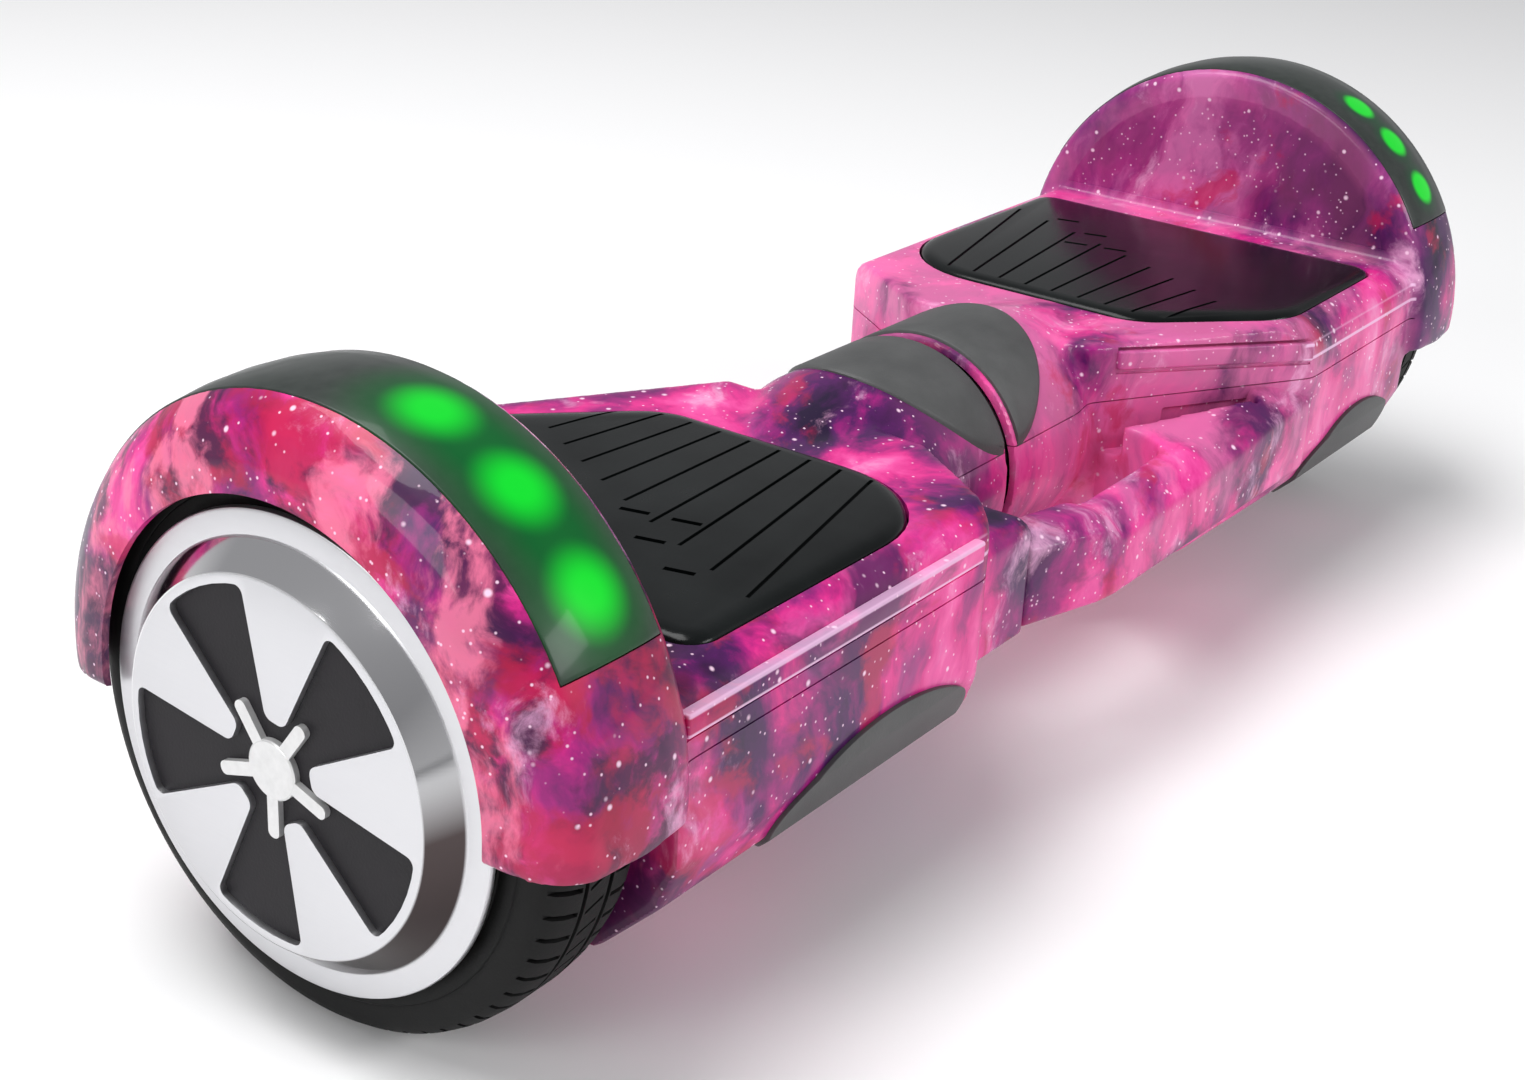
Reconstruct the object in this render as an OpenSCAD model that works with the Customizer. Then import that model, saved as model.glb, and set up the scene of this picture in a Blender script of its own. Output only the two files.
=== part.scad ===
// Two-wheeled self-balancing board with a twisting middle joint, in millimetres.
// +X runs along the wheel axles to the right, -Y is the front (the carry-handle side), +Z is up.
// The origin is on the floor under the middle of the board.
// Both halves come from one set of moulds: the left half is the right half turned 180 degrees about Z.
// Every module below that a half uses twice is drawn in the right half's place.

/* [Wheels] */
// Outside diameter of the tyres
tyre_d = 168; // [160:1:172]
// Width of a tyre
tyre_w = 38; // [32:1:42]
// Distance between the middle planes of the two wheels
track = 540; // [500:1:640]
// Diameter of the rim that a tyre seats on
rim_d = 124; // [112:1:130]
// Gap between a tyre's inner side and the body
wheel_gap = 5; // [3:0.5:10]
// Number of petals in a hubcap
petal_count = 5; // [3:1:7]
// Radius of the petal windows
petal_r = 50.5; // [42:0.5:51]
// How far a hubcap's raised disc stands out of its rim ring
hubcap_rise = 8; // [3:0.5:10]

/* [Body] */
// Width of the body from front to back
body_w = 178; // [170:1:184]
// Height of the standing surface above the floor
deck_z = 116; // [112:0.5:119]
// Height of the underside above the floor
belly_z = 28; // [24:1:36]
// Height of the seam between the top and bottom shells
seam_z = 95; // [92:0.5:97]
// Wall of the moulded shells
wall = 2.8; // [2:0.1:3.4]
// Outside radius of a fender
fender_r = 95; // [93:0.5:98]
// Wall of a fender
fender_wall = 2.5; // [2:0.1:3]
// Radius of the round opening in a fender's outer side
fender_mouth_r = 69; // [66:0.5:76]

/* [Middle joint] */
// Outside radius of the neck
neck_r = 43; // [41:0.5:46]
// Height of the pivot's axis
neck_z = 82; // [80:0.5:84]
// Gap between the two halves
neck_gap = 5; // [3:0.5:8]
// Outside diameter of the pivot tube
pivot_d = 28; // [22:1:32]
// Wall of the pivot tube
pivot_wall = 4; // [2.5:0.5:6]
// Twist each way from level, in degrees
twist_limit = 12; // [6:1:15]

/* [Foot mats] */
// Width of a mat from front to back
mat_w = 154; // [130:1:156]
// Length of a mat along the board
mat_l = 130; // [110:1:132]
// Travel of a mat when it is stood on
mat_travel = 1.5; // [1:0.1:2]
// Gap all round a mat
mat_gap = 0.6; // [0.4:0.1:1]

/* [Light bands] */
// Width of a smoked lens
lens_w = 37; // [24:1:38]
// Angle above level at which a lens ends, front and back, in degrees
lens_end = 24; // [10:1:45]
// Lights behind a lens
led_count = 3; // [2:1:4]

/* [Carry handle] */
// Thickness of the grip from front to back
grip_t = 18; // [14:1:20]
// Height of the grip
grip_h = 36; // [24:1:38]
// Gap between the grip and the block on the other half
grip_gap = 1.5; // [1:0.25:3]

/* [Electrics] */
// Diameter of the power button
button_d = 13; // [10:0.5:16]
// Travel of the power button
button_travel = 1.2; // [0.8:0.1:2]
// Diameter of the hole in the charging socket
socket_d = 13; // [10:0.5:14]

/* [Hidden] */
$fn = 64;
// Pieces that only touch keep this much less than a touch where they turn on each other
run = 0.04;
clear = 0.4;

// Wheel
axle_z = tyre_d / 2;
wheel_x = track / 2;
axle_r = 8.5;
axle_flat = 14;
cable_bore_r = 4;
cable_r = 2.8;
bearing_r = 17.5;
bearing_w = 8;
rim_r = rim_d / 2;
rim_wall = 4;
rim_half = tyre_w / 2 - 1;
rim_web = 6;
cover_t = 4;
hub_boss_r = 22;
magnet_t = 3;
magnet_w = 10;
magnet_count = 30;
air_gap = 0.6;
stator_r = rim_r - rim_wall - magnet_t - air_gap;
stator_half = rim_half - 10;
tooth_count = 27;
slot_depth = 16;
spider_half = 3;
hub_face_x = wheel_x + rim_half;
ring_x = hub_face_x + 6;
ring_r = 68;
cap_base_r = 60.3;
cap_face_r = 53;
cap_x = ring_x + hubcap_rise;
cap_t = 2;
petal_turn = 118;
petal_half_angle = 18.5;
tongue_tip_r = 15;
boss_r = 8.5;
finger_r = 20;
finger_w = 4.5;

// Body
body_end = wheel_x - tyre_w / 2 - wheel_gap;
half_w = body_w / 2;
fender_z = axle_z + 4;
fender_drop = 5;
fender_x = body_end;
fender_out = ring_x + 4.5;
corner_x = 94;
taper_start = 58;
taper_end = 145;
body_corner = 12;
patch_t = 1.6;
patch_z = 50;
patch_half_h = 21;
patches = [[corner_x + 53, 1, 50], [body_end - 48, -1, 40]];
post_r = 4.2;
screw_r = 1.7;
screw_head_r = 3.2;
screw_seat = 9;
posts = [
  [corner_x + 18, half_w - 9], [175, half_w - 9], [body_end - 8, half_w - 9],
  [taper_end + 14, 9 - half_w], [body_end - 8, 9 - half_w]
];

// Middle joint
pivot_r = pivot_d / 2;
bush_t = 3;
bush_l = 16;
bush_flange = 1.5;
boss_wall = 7;
chassis_boss_r = pivot_r + bush_t + boss_wall;
chassis_boss_end = 90;
stop_r = 30;
stop_pin_r = 3;
flange_r = 36;
flange_t = 6.5;
circlip_t = 1.6;
pivot_end = chassis_boss_end + 6;

// Chassis
plate_top = 93;
plate_t = 5;
plate_w = body_w - 46;
plate_start = 84;
skirt_t = 10;
skirt_h = 54;
clamp_x = body_end - 41;
clamp_l = 36;
clamp_w = 48;
clamp_t = 18;
clamp_screw_r = 3;
clamp_screw_y = 17;
axle_inner = clamp_x - 8;
cable_exit = axle_inner - 1;
cable_bend = (plate_top + cable_r + 0.4 - axle_z) / 2;
battery_start = plate_start + 30;
battery_l = 70;
battery_w = plate_w - 2 * skirt_t - 2;
battery_h = 48;
board_z = 100;
board_t = 1.6;

// Mats
mat_t = 6;
mat_top = deck_z + 2;
mat_out = body_end - 19;
mat_in = mat_out - mat_l;
mat_corner = 9;
mat_inner_corner = 40;
mat_lip = 3;
plunger_r = 5;
plunger_gap = 0.3;

// Light bands
lens_x = body_end + 3;
lens_t = fender_wall;
led_step = 22;

// Carry handle
grip_front = -half_w - 1;
grip_back = grip_front + grip_t;
grip_z = 56;
grip_start = -48;
grip_bend = -8;
grip_set_back = 12;
block_d = 25;
sleeve_start = -corner_x;
sleeve_x = grip_start - grip_gap;
opening_end = 56;
slant_turn = atan2(neck_r - 5 - half_w, taper_end - taper_start);
slot_w = 8;
slot_l = 72;
slot_z = 75;

// Electrics
socket_x = 165;
socket_z = 76;
socket_flange_r = socket_d / 2 + 5.5;
cap_pin_r = 1.2;
button_x = 190;
button_z = 76;

// Turns a right-half piece into the left half's
module left_half() {
  rotate([0, 0, 180]) children();
}

// Extrudes a (Y, Z) outline along X
module along_x(start, length) {
  translate([start, 0, 0]) rotate([90, 0, 90]) linear_extrude(length) children();
}

// A round bar along X
module bar_x(start, length, radius, z) {
  translate([start, 0, z]) rotate([0, 90, 0]) cylinder(r = radius, h = length);
}

// Turns an (X, radius) outline about a line along X at height z; angles run from +Y towards +Z
module turned_x(z, start = 0, sweep = 360) {
  translate([0, 0, z]) rotate([0, 90, 0]) rotate([0, 0, 90 + start])
    rotate_extrude(angle = sweep) rotate([0, 0, 90]) mirror([0, 1, 0]) children();
}

// A quarter bend in the XZ plane about a centre, from one angle to 90 degrees more
module quarter_bend(centre, start, bend_r, radius) {
  translate(centre) rotate([90, 0, 0]) rotate([0, 0, start])
    rotate_extrude(angle = 90) translate([bend_r, 0]) circle(r = radius);
}

// ---- Shells ----

// The body's outline from above
module body_plan() {
  offset(r = body_corner) offset(delta = -body_corner)
    polygon([
      [taper_start + 4, neck_r], [taper_start, -neck_r + 5], [taper_end, -half_w], [body_end + 40, -half_w],
      [body_end + 40, half_w], [corner_x, half_w]
    ]);
}

// The body's outline from the end, as (Y, Z)
module body_section() {
  half = [
    [0, belly_z], [half_w - 27, belly_z], [half_w - 7, belly_z + 20], [half_w, belly_z + 34],
    [half_w, seam_z], [half_w - 1, deck_z - 9], [half_w - 4, deck_z - 4], [half_w - 10, deck_z],
    [0, deck_z]
  ];
  polygon(half);
  mirror([1, 0]) polygon(half);
}

// The closed body, smaller all round by inset
module body_block(inset) {
  intersection() {
    linear_extrude(deck_z + 10) offset(delta = -inset) body_plan();
    along_x(0, body_end - inset) offset(delta = -inset) body_section();
  }
  bar_x(neck_gap / 2 - inset, taper_start - neck_gap / 2 + inset, neck_r - inset, neck_z);
  translate([taper_start, 0, neck_z]) rotate([0, 90, 0])
    cylinder(r1 = neck_r - inset, r2 = deck_z - neck_z - inset, h = corner_x + 3 - taper_start);
}

// The hollow body, with the neck's end open
module body_shell() {
  difference() {
    body_block(0);
    body_block(wall);
  }
}

// A fender's outline as (X, radius), smaller by inset
module fender_profile(inset) {
  offset(delta = -inset) polygon([
    [fender_x, 0], [fender_x, fender_r - 3.5], [fender_x + 3, fender_r - 1.6],
    [fender_x + 11, fender_r - 0.4], [fender_x + 20, fender_r], [fender_x + 30, fender_r - 0.4],
    [fender_x + 40, fender_r - 1.8], [fender_x + 45, fender_r - 5.5], [fender_x + 49, fender_r - 11],
    [fender_out - 0.6, fender_r - 18], [fender_out, fender_mouth_r], [fender_out, 0]
  ]);
}

// The fender: a half drum that is open below and round its mouth
module fender() {
  difference() {
    turned_x(fender_z, -fender_drop, 180 + 2 * fender_drop) intersection() {
      difference() {
        fender_profile(0);
        fender_profile(fender_wall);
      }
      union() {
        translate([fender_x, 0]) square([fender_wall, fender_r]);
        translate([fender_x, fender_mouth_r]) square([80, fender_r]);
      }
    }
    lens_slot();
    axle_way();
  }
}

// The room that an axle passes through
module axle_way() {
  bar_x(body_end - 10, 20, axle_r + 3, axle_z);
  translate([body_end - 10, -axle_r - 3, axle_z - 20]) cube([20, 2 * axle_r + 6, 20]);
}

// The slot in the fender's wall that the lens fills
module lens_slot() {
  slot_end = lens_end - clear / 2;
  turned_x(fender_z, slot_end, 180 - 2 * slot_end)
    translate([lens_x - clear / 2, fender_r - 20]) square([lens_w + clear, 40]);
}

// The mat's outline from above, wider all round by grow: slanted where the body is drawn in
module mat_plan(grow) {
  offset(delta = grow) intersection() {
    offset(r = mat_corner) offset(delta = -mat_corner)
      polygon([
        [mat_out, -mat_w / 2], [mat_out, mat_w / 2], [mat_in, mat_w / 2],
        [mat_in, 42 - mat_w / 2], [mat_in + 46, -mat_w / 2]
      ]);
    offset(r = mat_inner_corner) offset(delta = -mat_inner_corner)
      translate([mat_in, -mat_w]) square([2 * mat_l, 1.5 * mat_w]);
  }
}

module top_shell() {
  color("hotpink") {
    difference() {
      union() {
        intersection() {
          body_shell();
          translate([0, -half_w - 1, seam_z]) cube([body_end, body_w + 2, 60]);
        }
        for (p = posts) top_post(p);
        mat_seat();
        intersection() {
          along_x(body_end - 1, 1 + fender_wall / 2) offset(delta = -0.2) body_section();
          translate([body_end - 5, -body_w, seam_z]) cube([10, 2 * body_w, 60]);
        }
      }
      translate([0, 0, deck_z - 15]) linear_extrude(30) mat_plan(mat_gap - mat_lip);
      translate([0, 0, mat_top - mat_t - mat_travel - 0.3]) linear_extrude(30) mat_plan(mat_gap);
      for (p = posts) translate([p[0], p[1], 0]) cylinder(r = screw_r, h = deck_z - 8);
    }
    fender();
  }
}

// A screw post under the deck
module top_post(p) {
  translate([p[0], p[1], seam_z]) cylinder(r = post_r, h = deck_z - wall - seam_z);
}

// The rim that a mat's edge comes down on
module mat_seat() {
  low = mat_top - mat_t - mat_travel - 0.3 - wall;
  translate([0, 0, low]) linear_extrude(deck_z - wall - low + 0.1) mat_plan(mat_gap + wall);
}

module bottom_shell() {
  color("orchid") difference() {
    union() {
      intersection() {
        body_shell();
        translate([0, -half_w - 1, 0]) cube([body_end, body_w + 2, seam_z]);
      }
      intersection() {
        body_block(0);
        union() for (p = posts) translate([p[0], p[1], 0]) cylinder(r = post_r, h = seam_z);
      }
    }
    for (p = posts) {
      translate([p[0], p[1], 0]) cylinder(r = screw_head_r + 0.2, h = seam_z - screw_seat);
      translate([p[0], p[1], 0]) cylinder(r = screw_r + 0.2, h = seam_z + 1);
    }
    axle_way();
  }
}

// The right bottom shell has the hole for the charging socket
module right_bottom() {
  difference() {
    bottom_shell();
    translate([socket_x, half_w - 30, socket_z]) rotate([-90, 0, 0])
      cylinder(r = socket_d / 2 + 2.5, h = 40);
  }
}

// The left bottom shell has the hole for the power button
module left_bottom() {
  difference() {
    bottom_shell();
    translate([button_x, -half_w - 5, button_z]) rotate([-90, 0, 0]) cylinder(r = button_d / 2, h = 20);
  }
}

module shell_screws() {
  color("dimgray") for (p = posts) translate([p[0], p[1], 0]) difference() {
    union() {
      translate([0, 0, seam_z - screw_seat - 3]) cylinder(r = screw_head_r, h = 3);
      translate([0, 0, seam_z - screw_seat - 1]) cylinder(r = screw_r, h = screw_seat + 1 + 10);
    }
    translate([0, 0, seam_z - screw_seat - 4]) cylinder(r = 1.4, h = 2.4, $fn = 6);
  }
}

// A dark leaf-shaped cap over the top of the neck
module neck_collar() {
  color("dimgray") intersection() {
    difference() {
      bar_x(neck_gap / 2, 60, neck_r + 1.2, neck_z);
      bar_x(neck_gap / 2 - 1, 62, neck_r, neck_z);
    }
    translate([neck_gap / 2, 0, neck_z]) linear_extrude(60)
      polygon([for (a = [-90 : 9 : 90]) [44 * cos(a), (neck_r - 2) * sin(a)]]);
  }
}

// Grey rub patches wrapped over the lower slopes, one at the front and one at the back
module bumpers() {
  difference() {
    intersection() {
      linear_extrude(deck_z) offset(r = patch_t) body_plan();
      along_x(0, body_end) offset(r = patch_t) body_section();
      for (p = patches) translate([p[0], p[1] > 0 ? body_w : 0, patch_z]) rotate([90, 0, 0])
        linear_extrude(body_w) polygon([for (a = [0 : 12 : 348]) [p[2] * cos(a), patch_half_h * sin(a)]]);
    }
    intersection() {
      linear_extrude(deck_z) body_plan();
      along_x(-1, body_end + 2) body_section();
    }
  }
}

// The right half's patches make room for the charging socket
module right_bumpers() {
  color("gray") difference() {
    bumpers();
    translate([socket_x, half_w + 5, socket_z]) rotate([90, 0, 0]) cylinder(r = socket_flange_r + 1, h = 20);
  }
}

// The left half's patches make room for the power button
module left_bumpers() {
  color("gray") left_half() difference() {
    bumpers();
    translate([button_x, 15 - half_w, button_z]) rotate([90, 0, 0]) cylinder(r = button_d / 2 + 2, h = 20);
  }
}

// ---- Chassis and middle joint ----

// The casting's outline from above: a plate that stays clear of the shells' walls
module chassis_plan() {
  intersection() {
    translate([plate_start, -plate_w / 2]) square([clamp_x + clamp_l - plate_start, plate_w]);
    union() {
      offset(delta = -wall - 1) body_plan();
      translate([plate_start, -chassis_boss_r + 4]) square([40, 2 * chassis_boss_r - 8]);
    }
  }
}

module chassis_casting(bore_r) {
  difference() {
    union() {
      translate([0, 0, plate_top - plate_t]) linear_extrude(plate_t) chassis_plan();
      translate([0, 0, plate_top - skirt_h]) linear_extrude(skirt_h) difference() {
        chassis_plan();
        translate([0, skirt_t - plate_w / 2]) square([body_end, plate_w - 2 * skirt_t]);
        square([2 * corner_x + 40, body_w], center = true);
      }
      bar_x(bush_flange, chassis_boss_end - bush_flange, chassis_boss_r, neck_z);
      bar_x(bush_flange, flange_t, flange_r, neck_z);
      translate([clamp_x, -clamp_w / 2, axle_z]) cube([clamp_l, clamp_w, plate_top - axle_z]);
      for (x = [mat_in + 20, mat_out - 20]) for (s = [-1, 1])
        translate([x, s * (plate_w / 2 - 16), plate_top - 1]) cylinder(r = 4, h = board_z - plate_top + 1);
    }
    bar_x(0, pivot_end, bore_r, neck_z);
    along_x(axle_inner - 1, clamp_x + clamp_l - axle_inner + 2) axle_outline();
    for (p = clamp_holes()) translate([p[0], p[1], axle_z - 1]) cylinder(r = clamp_screw_r, h = 14);
    translate([cable_exit - 2 * cable_bend - 2, -6, plate_top - plate_t - 1])
      cube([2 * cable_bend + 4, 12, plate_t + 2]);
    bar_x(chassis_boss_end, pivot_end - chassis_boss_end + 2, pivot_r + bush_t + 4, neck_z);
  }
}

function clamp_holes() = [
  for (x = [clamp_x + 7, clamp_x + clamp_l - 7]) for (s = [-1, 1]) [x, s * clamp_screw_y]
];

// The axle's clamped section, as (Y, Z)
module axle_outline() {
  translate([0, axle_z]) intersection() {
    circle(r = axle_r);
    square([axle_flat, 2 * axle_r + 1], center = true);
  }
}

// The right chassis turns on the bushes and carries the slot that the stop pin moves in
module right_chassis() {
  color("lightgray") difference() {
    chassis_casting(pivot_r + bush_t);
    turned_x(neck_z, -90 - twist_limit - 7, 2 * (twist_limit + 7))
      translate([bush_flange - 1, stop_r - stop_pin_r - 0.3]) square([flange_t + 2, 2 * stop_pin_r + 0.6]);
  }
}

// The left chassis holds the pivot tube fast and has a cast stop pin
module left_chassis() {
  color("lightgray") {
    left_half() chassis_casting(pivot_r);
    bar_x(-bush_flange - 1, 2 * bush_flange + flange_t, stop_pin_r, neck_z - stop_r);
  }
}

module pivot_shaft() {
  color("silver") difference() {
    bar_x(-chassis_boss_end, chassis_boss_end + pivot_end, pivot_r, neck_z);
    bar_x(-chassis_boss_end - 1, chassis_boss_end + pivot_end + 2, pivot_r - pivot_wall, neck_z);
    turned_x(neck_z) translate([chassis_boss_end + 2, pivot_r - 1]) square([circlip_t + 0.2, 3]);
  }
}

// Two flanged bronze bushes; the flanges take the end thrust
module pivot_bushes() {
  color("peru") for (b = [[bush_flange, bush_l, -1], [chassis_boss_end - bush_l, bush_l, 1]]) difference() {
    union() {
      bar_x(b[0], b[1], pivot_r + bush_t, neck_z);
      bar_x(b[2] < 0 ? -bush_flange + 0.05 : chassis_boss_end, b[2] < 0 ? 2 * bush_flange - 0.05 : bush_flange,
        pivot_r + bush_t + 3, neck_z);
    }
    bar_x(-5, pivot_end + 10, pivot_r + run, neck_z);
  }
}

module pivot_circlip() {
  color("dimgray") difference() {
    bar_x(chassis_boss_end + 2.1, circlip_t, pivot_r + 3, neck_z);
    bar_x(chassis_boss_end, 6, pivot_r - 0.9, neck_z);
    translate([chassis_boss_end, -3, neck_z]) cube([6, 6, pivot_r + 6]);
  }
}

module axle_clamp() {
  color("silver") difference() {
    translate([clamp_x, -clamp_w / 2, axle_z - clamp_t]) cube([clamp_l, clamp_w, clamp_t]);
    along_x(clamp_x - 1, clamp_l + 2) axle_outline();
    for (p = clamp_holes()) translate([p[0], p[1], 0]) cylinder(r = clamp_screw_r + 0.2, h = axle_z + 1);
  }
}

module clamp_screws() {
  color("dimgray") for (p = clamp_holes()) translate([p[0], p[1], axle_z - clamp_t]) difference() {
    union() {
      translate([0, 0, -6]) cylinder(r = 5, h = 6);
      translate([0, 0, -1]) cylinder(r = clamp_screw_r, h = clamp_t + 9);
    }
    translate([0, 0, -7]) cylinder(r = 2.6, h = 4, $fn = 6);
  }
}

// ---- Wheel ----

module axle() {
  color("gray") difference() {
    union() {
      bar_x(clamp_x + clamp_l, wheel_x + bearing_w + 4.5 - clamp_x - clamp_l, axle_r, axle_z);
      along_x(axle_inner, clamp_x + clamp_l - axle_inner) axle_outline();
    }
    bar_x(axle_inner - 1, wheel_x - 9 - axle_inner, cable_bore_r, axle_z);
  }
}

// The rim is also the motor's drum, closed on its outer side
module motor_rim() {
  color("silver") turned_x(axle_z) translate([wheel_x, 0]) polygon([
    [cover_t - rim_half, rim_r - rim_wall], [cover_t - rim_half, rim_r], [rim_half, rim_r],
    [rim_half, 0], [bearing_w + 6, 0], [bearing_w + 6, axle_r], [bearing_w + 4, axle_r + 3],
    [bearing_w + 4, bearing_r], [4, bearing_r], [4, hub_boss_r], [rim_half - rim_web, hub_boss_r],
    [rim_half - rim_web, rim_r - rim_wall]
  ]);
}

// The inner side of the motor, bolted to the rim
module motor_cover() {
  color("silver") turned_x(axle_z) translate([wheel_x, 0]) polygon([
    [-rim_half, axle_r + 3], [-rim_half, rim_r], [cover_t - rim_half, rim_r],
    [cover_t - rim_half, hub_boss_r], [-6, hub_boss_r], [-6, bearing_r],
    [-6 - bearing_w, bearing_r], [-6 - bearing_w, axle_r + 3]
  ]);
}

module wheel_bearings() {
  color("silver") for (x = [-6 - bearing_w, 4]) turned_x(axle_z)
    translate([wheel_x + x, axle_r + run]) square([bearing_w, bearing_r - axle_r - run]);
}

// Flat magnets round the inside of the drum
module magnets() {
  reach = sqrt(pow(rim_r - rim_wall, 2) - pow(magnet_w / 2, 2));
  color("dimgray") along_x(wheel_x - stator_half, 2 * stator_half) translate([0, axle_z])
    for (k = [0 : magnet_count - 1]) rotate(k * 360 / magnet_count)
    translate([reach - magnet_t, -magnet_w / 2]) square([magnet_t, magnet_w]);
}

module stator() {
  tooth_step = 360 / tooth_count;
  color("slategray") difference() {
    bar_x(wheel_x - stator_half, 2 * stator_half, stator_r, axle_z);
    along_x(wheel_x - stator_half - 1, 2 * stator_half + 2) translate([0, axle_z])
      for (k = [0 : tooth_count - 1]) rotate(k * tooth_step)
      translate([stator_r - slot_depth, -2]) square([slot_depth - 2.4, 4]);
    for (x = [wheel_x - stator_half - 1, wheel_x + spider_half])
      bar_x(x, stator_half - spider_half + 1, stator_r - slot_depth - 8, axle_z);
    bar_x(wheel_x - 20, 40, axle_r, axle_z);
  }
}

// One copper coil side in each slot of the stator
module windings() {
  coil_l = 2 * stator_half + 5;
  color("orangered") along_x(wheel_x - coil_l / 2, coil_l) translate([0, axle_z])
    for (k = [0 : tooth_count - 1]) rotate(k * 360 / tooth_count)
    translate([stator_r - slot_depth + 0.3, -1.8]) square([slot_depth - 3, 3.6]);
}

module tyre() {
  half = tyre_w / 2;
  tyre_r = tyre_d / 2;
  color("#202020") turned_x(axle_z) translate([wheel_x, 0]) polygon([
    [-rim_half, rim_r], [-rim_half - 0.5, rim_r + 3], [-half, rim_r + 10], [-half + 1, tyre_r - 6],
    [-half + 4, tyre_r - 2], [-half + 8, tyre_r - 0.5], [-half + 13, tyre_r], [half - 13, tyre_r],
    [half - 8, tyre_r - 0.5], [half - 4, tyre_r - 2], [half - 1, tyre_r - 6], [half, rim_r + 10],
    [rim_half + 0.5, rim_r + 3], [rim_half, rim_r]
  ]);
}

// The petal windows: a disc less the tongues that reach in between the petals
module petal_outline() {
  tongue_half = 180 / petal_count - petal_half_angle;
  offset(r = 2.5) offset(delta = -2.5) difference() {
    circle(r = petal_r);
    for (k = [0 : petal_count - 1]) rotate(petal_turn + (k + 0.5) * 360 / petal_count) {
      translate([tongue_tip_r + 4, 0]) circle(r = 4);
      polygon([
        [tongue_tip_r + 3, -4], [tongue_tip_r + 3, 4],
        [petal_r + 5, (petal_r + 5) * sin(tongue_half)], [petal_r + 5, -(petal_r + 5) * sin(tongue_half)]
      ]);
    }
  }
}

module hubcap() {
  color("silver") difference() {
    turned_x(axle_z) polygon([
      [hub_face_x, cap_base_r - 4.5], [hub_face_x, cap_base_r - 1], [ring_x - cap_t, cap_base_r - 0.6],
      [ring_x - cap_t, ring_r], [ring_x - 0.6, ring_r], [ring_x, ring_r - 0.8], [ring_x, cap_base_r],
      [cap_x - 0.8, cap_face_r + 0.8], [cap_x, cap_face_r], [cap_x, 0], [cap_x - cap_t, 0],
      [cap_x - cap_t, cap_face_r - 1.5], [ring_x - cap_t, cap_base_r - 4.5]
    ]);
    along_x(cap_x - cap_t - 1, cap_t + 2) translate([0, axle_z]) petal_outline();
  }
}

module hub_disc() {
  color("#202020") bar_x(cap_x - cap_t - 1.5, 1.5, cap_face_r - 1.6, axle_z);
}

module hub_badge() {
  color("white") along_x(cap_x - cap_t, cap_t) translate([0, axle_z]) {
    circle(r = boss_r);
    for (k = [0 : petal_count - 1]) rotate(petal_turn + 8 + k * 360 / petal_count) {
      translate([0, -finger_w / 2]) square([finger_r - finger_w / 2, finger_w]);
      translate([finger_r - finger_w / 2, 0]) circle(d = finger_w);
    }
  }
}

// ---- Lights, mats and electrics ----

module led_lens() {
  color("dimgray") turned_x(fender_z, lens_end, 180 - 2 * lens_end) intersection() {
    difference() {
      fender_profile(0);
      fender_profile(lens_t);
    }
    translate([lens_x, fender_r - 20]) square([lens_w, 40]);
  }
}

// The lights sit behind the front part of each lens
module led_strip() {
  seat = fender_r - lens_t - 2.6;
  last = 180 - lens_end - 10;
  reach = led_step * (led_count - 1);
  color("seagreen") {
    turned_x(fender_z, last - reach - 6, reach + 12) translate([lens_x + 12, seat]) square([12, 0.8]);
    for (k = [0 : led_count - 1]) turned_x(fender_z, last - 3 - led_step * k, 6)
      translate([lens_x + 14.5, seat + 0.8]) square([7, 1.2]);
  }
}

module foot_mat() {
  color("#181818") {
    translate([0, 0, mat_top - mat_t]) linear_extrude(mat_t) mat_plan(0);
    for (x = [mat_in + 36, mat_out - 36]) for (s = [-1, 1])
      translate([x, s * 42, board_z + board_t + mat_travel + plunger_gap])
      cylinder(r = plunger_r, h = mat_top - mat_t - board_z - board_t - mat_travel - plunger_gap + 1);
  }
}

module gyro_board() {
  color("darkgreen") {
    translate([mat_in + 12, 8 - plate_w / 2, board_z])
      cube([mat_out - mat_in - 24, plate_w - 16, board_t]);
    translate([mat_in + 50, -9, board_z + board_t]) cube([24, 18, 2]);
  }
}

module battery_pack() {
  color("royalblue") difference() {
    translate([battery_start, -battery_w / 2, plate_top - plate_t - battery_h])
      cube([battery_l, battery_w, battery_h]);
    translate([battery_start - 1, -20, plate_top - plate_t - battery_h - 1]) cube([8, 40, 14]);
  }
}

module control_board() {
  color("darkgreen") left_half() {
    translate([plate_start + 32, -battery_w / 2, plate_top - plate_t - 14])
      cube([axle_inner - plate_start - 33, battery_w, 1.6]);
    translate([plate_start + 36, 5 - battery_w / 2, plate_top - plate_t - 12.4])
      cube([10, battery_w - 10, 12.4]);
    for (k = [-1.5 : 1.5]) translate([plate_start + 70, k * (battery_w - 38) / 3, plate_top - plate_t - 34])
      cylinder(r = 8, h = 20);
  }
}

// Three-phase lead: out of the axle's bore, up through the plate and along it to a plug
module motor_cable() {
  plug_x = plate_start + 26;
  color("#303030") {
    bar_x(cable_exit, wheel_x - 12 - cable_exit, cable_r, axle_z);
    quarter_bend([cable_exit, 0, axle_z + cable_bend], 180, cable_bend, cable_r);
    quarter_bend([cable_exit - 2 * cable_bend, 0, axle_z + cable_bend], 0, cable_bend, cable_r);
    bar_x(plug_x, cable_exit - 2 * cable_bend - plug_x, cable_r, axle_z + 2 * cable_bend);
    translate([plug_x - 12, -6, plate_top]) cube([12, 12, 6]);
  }
}

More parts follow.
